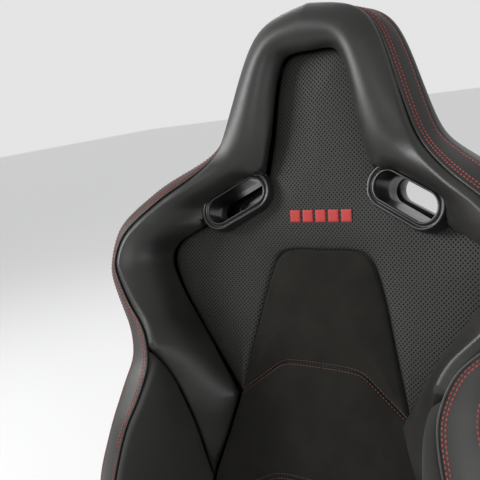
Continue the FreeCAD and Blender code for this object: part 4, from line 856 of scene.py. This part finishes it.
def slotProfile(turns, profile):
    # the profile (reach from the slot's middle line, height over the flange plane) carried round the stadium
    rings = [slotRing(turns, reach, np.full(len(turns), height)) for reach, height in profile]
    return np.stack(rings, axis=1)


def arc(centre, radius, first, last, count):
    turn = np.radians(np.linspace(first, last, count))
    return [(centre[0] + radius * np.cos(a), centre[1] + radius * np.sin(a)) for a in turn]


frontProfile = [
    (15.6, -38.0), (15.8, -20.0), (16.0, -6.0), (16.2, 2.0),
    *arc((17.4, 6.2), 1.3, 180, 20, 7),  # inner lip
    (19.4, 5.0), (20.6, 4.6), (21.8, 5.2),
    *arc((23.4, 7.0), 1.6, 160, 10, 7),  # outer lip
    (25.8, 5.0), (26.8, 1.6), (27.2, -3.0), (27.0, -9.0), (25.2, -12.0), (21.0, -12.0), (18.0, -13.0),
    (17.2, -38.0),
]
ringTurns = np.linspace(0, 2 * np.pi, 121)[:-1]
frontRing = slotProfile(ringTurns, frontProfile)


def rearRing(turns, reach, depth):
    # upright stadium on the back of the seat, slanted as the slot is
    slant = math.radians(slot["slant"])
    along, above = stadium(turns, reach)
    return np.stack([slot["across"] + along * math.cos(slant) + above * math.sin(slant),
                     np.full(len(turns), depth),
                     slot["rise"] - along * math.sin(slant) + above * math.cos(slant)], axis=1)


# reach from the slot's middle line, and depth in the backrest
rearProfile = [
    (15.6, -14.0), (15.9, -38.0), *arc((17.5, -42.6), 1.5, 180, 300, 5), (20.6, -43.0), (23.4, -43.4),
    *arc((25.0, -42.0), 1.4, 250, 370, 5), (26.6, -38.5), (22.0, -38.5), (17.6, -37.0), (17.2, -14.0),
]
backRing = np.stack([rearRing(ringTurns, reach, depth) for reach, depth in rearProfile], axis=1)


def crossFrom(grid, first, distance, middle=backrest["inside"]):
    # the line that runs a set distance in from a grid's first or last column, measured along each row
    normals = facingOut(grid, middle)
    rows, normals = (grid, normals) if first else (grid[:, ::-1], normals[:, ::-1])
    step = np.linalg.norm(np.diff(rows, axis=1), axis=2)
    walked = np.concatenate([np.zeros((len(rows), 1)), np.cumsum(step, axis=1)], axis=1)
    target = np.minimum(distance, walked[:, -1] * 0.5)
    column = np.argmax(walked >= target[:, None] - 1e-9, axis=1).clip(1)
    index = np.arange(len(rows))
    low, high = walked[index, column - 1], walked[index, column]
    share = ((target - low) / np.maximum(high - low, 1e-9))[:, None]
    line = rows[index, column - 1] * (1 - share) + rows[index, column] * share
    return line, unit(normals[index, column])


backHalf = backGrid()
backSeam = crossFrom(backHalf, True, shell["seam"], backrest["ahead"])[0]
sewn = seamDistance(backHalf, evenly(backSeam, 1.5))
(grooveDeep, grooveWide), (pullDeep, pullWide) = shell["groove"], shell["pull"]
backHalf[..., 1] += grooveDeep * np.exp(-(sewn / grooveWide) ** 2) + pullDeep * np.exp(-sewn / pullWide)
cover = padMesh("back_cover", backHalf, backHalf[:, 0], shell["thick"], bothHands, backrest["ahead"])
for hand in bothHands:
    prism = np.stack([rearRing(ringTurns, shell["slotReach"], depth) * hand for depth in shell["slotDepths"]])
    cutter = ringMesh("slot_cutter", prism)
    cut = cover.modifiers.new("slot", "BOOLEAN")
    cut.object, cut.operation, cut.solver = cutter, "DIFFERENCE", "EXACT"
    bpy.context.view_layer.update()
    opened = bpy.data.meshes.new_from_object(cover.evaluated_get(bpy.context.evaluated_depsgraph_get()))
    cover.modifiers.clear()
    cover.data = opened
    bpy.data.objects.remove(cutter)
finishPiece(cover, "leather", "backrest", ("rear_shell",))

for sideName, hand in hands.items():
    for end, rings in (("front", frontRing), ("rear", backRing)):
        ring = ringMesh(f"harness_ring_{end}_{sideName}", rings * hand, True)
        finishPiece(ring, "bezel", "backrest", (f"harness_bezel_{end}_{sideName}",))
print("stage: back cover and harness rings")


# stitch sizes: length, gap, half width and half height
edgeStitch = {"length": 3.2, "gap": 1.5, "width": 0.8, "height": 0.5}
arcStitch = {"length": 2.8, "gap": 1.5, "width": 0.5, "height": 0.38}
backStitch = {"length": 3.2, "gap": 1.5, "width": 0.6, "height": 0.42}


def stitches(name, rows, material, size=edgeStitch, place=seat, body="backrest"):
    # each stitch is a lozenge bar: six-sided rings at its ends and beside its middle, thick in the middle
    along = np.array([-0.5, -0.3, 0.3, 0.5]) * size["length"]
    fat = np.array([0.25, 1.0, 1.0, 0.25])
    sides = 6
    turn = (np.arange(sides) * 2 * np.pi / sides)[None, None, :, None]
    corners = len(along) * sides
    single = gridFaces(len(along), sides, 0, False, True).tolist()
    for low in (0, corners - sides):
        single += [[low, low + 1, low + 2, low + 3], [low, low + 3, low + 4, low + 5]]
    points, faces = [], []
    start = 0
    for line, normals in rows:
        walked = walkedLength(line)
        at = np.arange(size["length"], walked[-1] - size["length"], size["length"] + size["gap"])
        centre = pointsAt(at, walked, line)
        normal = unit(pointsAt(at, walked, normals))
        tangent = unit(pointsAt(at + 1, walked, line) - centre)
        sideways = np.cross(tangent, normal)
        ring = (np.cos(turn) * sideways[:, None, None, :] * size["width"]
                + np.sin(turn) * normal[:, None, None, :] * size["height"])
        bars = (centre[:, None, None, :] + tangent[:, None, None, :] * along[None, :, None, None]
                + ring * fat[None, :, None, None])
        points.append(place(bars).reshape(-1, 3))
        firsts = start + np.arange(len(at)) * corners
        faces.append((np.array(single)[None] + firsts[:, None, None]).reshape(-1, 4))
        start += len(at) * corners
    piece = meshPiece(name, np.concatenate(points), np.concatenate(faces), merge=1e-7)
    return finishPiece(piece, material, body)


def sewnRow(line, normals, lift):
    # a row of stitches on the left and its mirror image, lifted off the cover
    return [((line + normals * lift) * hand, normals * hand) for hand in bothHands]


edgeRows = sewnRow(*crossFrom(band, True, 4.2), 0.15) + sewnRow(*crossFrom(band, False, 3.6), 0.15)
line, normals = crossFrom(band, True, 7.6)
secondRow = 330  # the double row's inner one ends above the recliner
edgeRows += sewnRow(line[:secondRow], normals[:secondRow], 0.15)
stitches("edge_band_stitches", edgeRows, "thread")

arcRows = []
for panelName, top in (("centre_panel_upper", False), ("centre_panel_middle", False),
                       ("centre_panel_middle", True), ("lumbar_panel", True)):
    surface = np.swapaxes(panelSurfaces[panelName], 0, 1)
    arcRows += sewnRow(*crossFrom(surface, top, 4.0), 0.1)
stitches("panel_arc_stitches", arcRows, "darkThread", arcStitch)
backRows = []
for offset in (-4.0, 4.0):
    backRows += sewnRow(*crossFrom(backHalf, True, shell["seam"] + offset, backrest["ahead"]), 0.15)
stitches("back_cover_stitches", backRows, "thread", backStitch)


def welt(name, line, radius, material="welt"):
    # thin round cord sewn along a seam, with its mirror image
    rings = tubeRings(evenly(line, 2.5), radius)
    rows, columns = rings.shape[:2]
    points = np.concatenate([seat(rings * hand).reshape(-1, 3) for hand in bothHands])
    faces = tubeFaces(rows, columns) + tubeFaces(rows, columns, rows * columns)
    return finishPiece(meshPiece(name, points, faces, merge=1e-7), material, "backrest")


# the front welt takes the lighter welt leatherette, a painted highlight along the cord
welt("front_welt", sampled(frontSeam) + np.array([0.3, 1.0, 0]), 1.3)
welt("back_welt", sampled(rearRim) + np.array([0, -1.0, 0]), 2.2, "leather")
print("stage: welts and stitches")


badge = {"rise": 532.0, "half": 44.0, "bars": 5, "height": 15.0, "gap": 3.4, "steps": 25}


def embroideredBars():
    # upright satin-stitched bars, each closed: front (0.9 + 0.12 cos(40 pi v)) and back -0.8, both times
    # (1 - u^6)(1 - v^8), so that they meet at the bar's edge
    points, faces = [], []
    pitch = 2 * badge["half"] / badge["bars"]
    steps = badge["steps"]
    u, v = np.meshgrid(np.linspace(-1, 1, steps), np.linspace(-1, 1, steps), indexing="ij")
    dome = (1 - u ** 6) * (1 - v ** 8)
    rise = badge["rise"] + v * badge["height"] / 2
    for index in range(badge["bars"]):
        across = -badge["half"] + pitch * (index + 0.5) + u * (pitch - badge["gap"]) / 2
        for lift in ((0.9 + 0.12 * np.cos(v * 40 * np.pi)) * dome, -0.8 * dome):
            grid = np.stack([across, baseDepth(across, rise) + 0.2 + lift, rise], axis=-1)
            faces.append(gridFaces(steps, steps, len(points) * steps * steps))
            points.append(seat(grid).reshape(-1, 3))
    piece = meshPiece("embroidered_bars", np.concatenate(points), np.concatenate(faces))
    return finishPiece(piece, "embroidery", "backrest")


embroideredBars()


cushion = {
    "half": 262.0, "corner": 70.0, "front": 292.0, "tail": -112.0, "tailHalf": 205.0, "step": -52.0,
    "foot": 75.0, "noseSeam": 230.0, "noseRound": 270.0, "noseReach": 21.5,
    "seamForward": (-52, 230), "seamHalf": (136.0, 128.0),  # the seam beside each thigh bolster
    "gap": 1.2, "puff": 0.5, "endRings": 6,
    "outerFrom": 150,  # a side line further out than this is an outer one
    "roll": 16.0, "rollDrop": 12.8, "swell": 4.0,
}
# forward place: centre, seam half and rise, crest inset and rise, edge rise
cushionTop = {
    "forward": (-112, -52, 70, 240, 276, 292),
    "section": [(168, 132, 172, 30, 183, 177), (180, 132, 187, 38, 206, 192), (206, 132, 214, 40, 284, 262),
                (234, 135, 240, 44, 252, 226), (205, 135, 206, 52, 210, 188), (128, 135, 128, 60, 126, 112)],
    # how much the foam swells past a plain spline through those sections, in the same six values
    "swellForward": (20, 160, 205),
    "swell": [(-7.5, 0, -7, 0, 0, 3), (25, 0, 24.5, 0, 22.5, 24.5), (22, 0, 21.5, 0, 21.5, 23.5)],
}


def swelledSections():
    # three sections more: the plain spline's value at each place plus its swell, to whole millimetres
    plain = cubic(cushionTop["forward"], cushionTop["section"], cushionTop["swellForward"])
    added = np.round(plain + np.array(cushionTop["swell"]))
    forward = np.concatenate([cushionTop["forward"], cushionTop["swellForward"]])
    order = np.argsort(forward)
    return forward[order], np.concatenate([cushionTop["section"], added])[order]


topForward, topSections = swelledSections()


def topRise(across, forward):
    # the cushion's height: sections run through forward by splines, and each is a spline across
    values = cubic(topForward, topSections, np.atleast_1d(forward))
    rows = []
    for (centre, seamHalf, seamRise, inset, crestRise, edgeRise), line in zip(values, np.atleast_2d(across)):
        knots = np.array([seamHalf, cushion["half"] - inset, cushion["half"]])
        rises = np.array([seamRise, crestRise, edgeRise])
        rows.append(cubic(np.concatenate([-knots[::-1], [0], knots]),
                          np.concatenate([rises[::-1], [centre], rises]), line))
    return np.stack(rows)


def planHalf(forward):
    # half width in plan: straight sides and round front corners
    inside = np.clip(np.asarray(forward, float) - (cushion["front"] - cushion["corner"]), 0, cushion["corner"])
    return cushion["half"] - cushion["corner"] + np.sqrt(cushion["corner"] ** 2 - inside ** 2)


def seamHalfAt(forward):
    return np.interp(forward, cushion["seamForward"], cushion["seamHalf"])


def blockRings(forwards, low, high, top=56, walls=14):
    # closed rings across the cushion from one side line to the other: a top that rolls over at outer edges by
    # a quarter ellipse, side walls that swell by a sine, and a flat foot
    share = nearEnds(top, 0.6)[None, :]
    across = low[:, None] * (1 - share) + high[:, None] * share
    rise = topRise(across, forwards)
    lowOuter, highOuter = (np.abs(side)[:, None] > cushion["outerFrom"] for side in (low, high))
    for edge, outer in ((across - low[:, None], lowOuter), (high[:, None] - across, highOuter)):
        over = np.clip(1 - edge / cushion["roll"], 0, 1)
        rise -= np.where(outer, cushion["rollDrop"] * (1 - np.sqrt(1 - over ** 2)), 0)
    rise -= seamFall(np.abs(np.abs(across) - seamHalfAt(forwards)[:, None]))
    rise -= seamFall(np.abs(forwards - cushion["noseSeam"])[:, None])
    down = nearEnds(walls, 0.3)[None, 1:-1]
    swell = cushion["swell"] * np.sin(np.pi * down)
    foot = cushion["foot"]
    ringAcross = np.concatenate([across, high[:, None] + highOuter * swell, np.stack([high, low], axis=1),
                                 low[:, None] - lowOuter * swell], axis=1)
    ringRise = np.concatenate([rise, rise[:, -1:] * (1 - down) + foot * down, np.full((len(forwards), 2), foot),
                               foot * (1 - down) + rise[:, :1] * down], axis=1)
    ringForward = np.repeat(forwards[:, None], ringRise.shape[1], axis=1)
    return np.stack([ringAcross, ringForward, ringRise], axis=-1)


def closedEnds(rings):
    # both ends rounded: each added ring steps out by puff * sin(a) and draws in a little, by 1 - cos(a)
    turn = np.linspace(0, np.pi / 2, cushion["endRings"] + 1)[1:, None, None]
    drawn = 1 - np.array([0.03, 0.0, 0.08]) * (1 - np.cos(turn))
    step = np.array([0.0, cushion["puff"], 0.0]) * np.sin(turn)
    tail, nose = (ring.mean(axis=0) + (ring - ring.mean(axis=0)) * drawn for ring in (rings[0], rings[-1]))
    return np.concatenate([(tail - step)[::-1], rings, nose + step])


def cushionPieces():
    gap = cushion["gap"] / 2
    middle = np.linspace(cushion["step"] + gap, cushion["noseSeam"] - gap, 90)
    rear = np.linspace(cushion["tail"], cushion["step"] - gap, 24)
    over = cushion["noseReach"] * np.sin(np.linspace(0, np.pi / 2, 20))[1:]
    nose = np.concatenate([np.linspace(cushion["noseSeam"] + gap, cushion["noseRound"], 16),
                           cushion["noseRound"] + over])
    side, tailHalf = seamHalfAt(middle), np.full(len(rear), cushion["tailHalf"])
    # rings, material, slot and the solid that each cover stands for
    pieces = {
        "cushion_centre_cover": (blockRings(middle, -side + gap, side - gap), "suede", "suede",
                                 ("cushion_centre",)),
        "thigh_bolster_cover_left": (blockRings(middle, side + gap, planHalf(middle)), "leather", "leatherette",
                                     ("thigh_bolster_left",)),
        "thigh_bolster_cover_right": (blockRings(middle, -planHalf(middle), -side - gap), "leather",
                                      "leatherette", ("thigh_bolster_right",)),
        "cushion_nose_cover": (blockRings(nose, -planHalf(nose), planHalf(nose), 90), "leather", "leatherette",
                               ("cushion_nose",)),
        "cushion_tail_cover": (blockRings(rear, -tailHalf, tailHalf, 90), "suede", "suede", ()),
    }
    for pieceName, (rings, material, slotName, solid) in pieces.items():
        piece = ringMesh(pieceName, closedEnds(rings), place=upright)
        finishPiece(piece, material, "seat_base", solid)


cushionPieces()


def onCushion(across, forward, lift=-0.6):
    # a row of places laid on the cushion's top and sunk a little, with upward normals
    rise = topRise(across[:, None], forward)[:, 0] + lift
    return np.column_stack([across, forward, rise]), np.tile([0.0, 0.0, 1.0], (len(across), 1))


cushionRows = []
alongSeam = np.linspace(-40, 222, 60)
acrossNose = np.linspace(-226, 226, 90)
for offset in (5.0, 8.5):
    for side in (1, -1):
        cushionRows.append(onCushion(side * (seamHalfAt(alongSeam) + offset), alongSeam))
for offset in (4.5, 8.0):
    cushionRows.append(onCushion(acrossNose, np.full(90, cushion["noseSeam"] + offset)))
stitches("cushion_stitches", cushionRows, "thread", place=upright, body="seat_base")
print("stage: cushion")


# one finish for each material slot of the record
finishes = {
    "rail_steel": metal("zinc_rail", (0.50, 0.51, 0.52), 0.34),
    "latch_steel": metal("zinc_latch", (0.46, 0.46, 0.45), 0.38, (1, 1, 60)),
    "recliner_steel": metal("oiled_steel", (0.30, 0.30, 0.30), 0.3, (60, 1, 1)),
    "fastener_steel": metal("zinc_fastener", (0.52, 0.52, 0.51), 0.3, (1, 1, 1)),
    "black_steel": moulded("black_powder_coat", (0.018, 0.018, 0.0185), 0.42, 0.0012, 0.35, 0.1),
    "cover_plastic": moulded("textured_cover", (0.020, 0.020, 0.0205), 0.5, 0.0008, 0.4),
    "lever_plastic": moulded("satin_lever", (0.016, 0.016, 0.0165), 0.36, 0.0006, 0.2, 0.15),
    "nylon": moulded("natural_nylon", (0.62, 0.61, 0.57), 0.4, 0.0015, 0.15),
    "webbing": weave("elastic_webbing", (0.03, 0.03, 0.03), (0.055, 0.055, 0.055), 0.0016),
    "back_cover": materials["leather"], "leatherette": materials["leather"],
    "perforated_leatherette": materials["perforated"], "suede": materials["suede"],
    "bolster_fabric": materials["weave"], "bezel_plastic": materials["bezel"],
}
for part in frame["record"]["subparts"]:
    node = frame["nodes"][part["node"]]
    for holder in node.material_slots:
        holder.material = finishes[part["material_slot"]]
print("stage: finishes")


# each lamp: place, width and height in metres, and watts
studioLight = {
    "world": 0.16, "sky": (0.9, 0.92, 0.95), "backdrop": 0.78,
    "floor": 0.5, "floorReach": 20.0,
    "floorShown": 0.5,  # how pale the floor looks to the camera over what the lamps give it
    "aim": (0, 0.2, 0.55),
    "lamps": {
        "key": ((-2.2, -1.0, 1.7), (0.9, 1.1), 62),
        "front": ((0.7, -2.1, 1.5), (1.0, 1.0), 20),
        "fill": ((2.4, -1.0, 0.8), (1.2, 1.4), 14),
        "rim": ((-1.2, 2.0, 1.9), (1.0, 1.6), 14),
    },
}


def shownRay(tree):
    # 1 for rays from the camera, and for those that mirrors and clear parts pass on
    path = tree.nodes.new("ShaderNodeLightPath")
    seen = mathNode(tree, "MAXIMUM", path.outputs["Is Camera Ray"], path.outputs["Is Transmission Ray"])
    return mathNode(tree, "MAXIMUM", seen, path.outputs["Is Glossy Ray"])


def studio():
    floor = bpy.data.meshes.new("studio_floor")
    reach = studioLight["floorReach"]
    floor.from_pydata([(-reach, -reach, 0), (reach, -reach, 0), (reach, reach, 0), (-reach, reach, 0)], [],
                      [(0, 1, 2, 3)])
    ground = bpy.data.objects.new("studio_floor", floor)
    bpy.context.scene.collection.objects.link(ground)
    material, tree, shader = newMaterial("pale_floor")
    shader.inputs["Base Color"].default_value = (*[studioLight["floor"]] * 3, 1)
    shader.inputs["Roughness"].default_value = 0.8
    shader.inputs["Specular IOR Level"].default_value = 0.1
    shader.inputs["Emission Color"].default_value = (1, 1, 1, 1)
    tree.links.new(mathNode(tree, "MULTIPLY", shownRay(tree), studioLight["floorShown"]),
                   shader.inputs["Emission Strength"])
    floor.materials.append(material)
    world = bpy.data.worlds.new("studio")
    bpy.context.scene.world = world
    world.use_nodes = True
    tree = world.node_tree
    back = tree.nodes["Background"]
    back.inputs["Color"].default_value = (*studioLight["sky"], 1)
    back.inputs["Strength"].default_value = studioLight["world"]
    shown = tree.nodes.new("ShaderNodeBackground")
    shown.inputs["Color"].default_value = (*[studioLight["backdrop"]] * 3, 1)
    mixed = tree.nodes.new("ShaderNodeMixShader")
    tree.links.new(shownRay(tree), mixed.inputs["Fac"])
    tree.links.new(back.outputs["Background"], mixed.inputs[1])
    tree.links.new(shown.outputs["Background"], mixed.inputs[2])
    tree.links.new(mixed.outputs["Shader"], tree.nodes["World Output"].inputs["Surface"])
    for lampName, (spot, (wide, high), power) in studioLight["lamps"].items():
        light = bpy.data.lights.new(lampName, "AREA")
        light.shape, light.size, light.size_y, light.energy = "RECTANGLE", wide, high, power
        lamp = bpy.data.objects.new(lampName, light)
        bpy.context.scene.collection.objects.link(lamp)
        lamp.location = spot
        lamp.rotation_mode = "QUATERNION"
        lamp.rotation_quaternion = (Vector(studioLight["aim"]) - Vector(spot)).to_track_quat("-Z", "Y")


# place in the backrest's own frame, turn in degrees and lens in millimetres
view = {"place": (413, 712, 520), "turn": 38.12, "lens": 50.0, "shiftX": 0.002, "shiftY": -0.029}


def photographer():
    # level with the shoulders in the backrest's own frame, so it leans back with the seat
    turn = math.radians(view["turn"])
    spot = Vector(seat(view["place"]))
    origin = Vector(seat((0, 0, 0)))
    ahead = Vector(seat((-1000 * math.sin(turn), -1000 * math.cos(turn), 0))) - origin
    up = Vector(seat((0, 0, 1000))) - origin
    ahead.normalize()
    up.normalize()
    side = ahead.cross(up)
    data = bpy.data.cameras.new("photo_camera")
    data.lens, data.sensor_width = view["lens"], 36.0
    data.shift_x, data.shift_y = view["shiftX"], view["shiftY"]
    data.clip_start = 0.01
    camera = bpy.data.objects.new("photo_camera", data)
    bpy.context.scene.collection.objects.link(camera)
    turned = Matrix((side, up, -ahead)).transposed().to_4x4()
    turned.translation = spot
    camera.matrix_world = turned
    bpy.context.scene.camera = camera


studio()
photographer()
bpy.context.scene.view_settings.view_transform = "Standard"
print("stage: done")
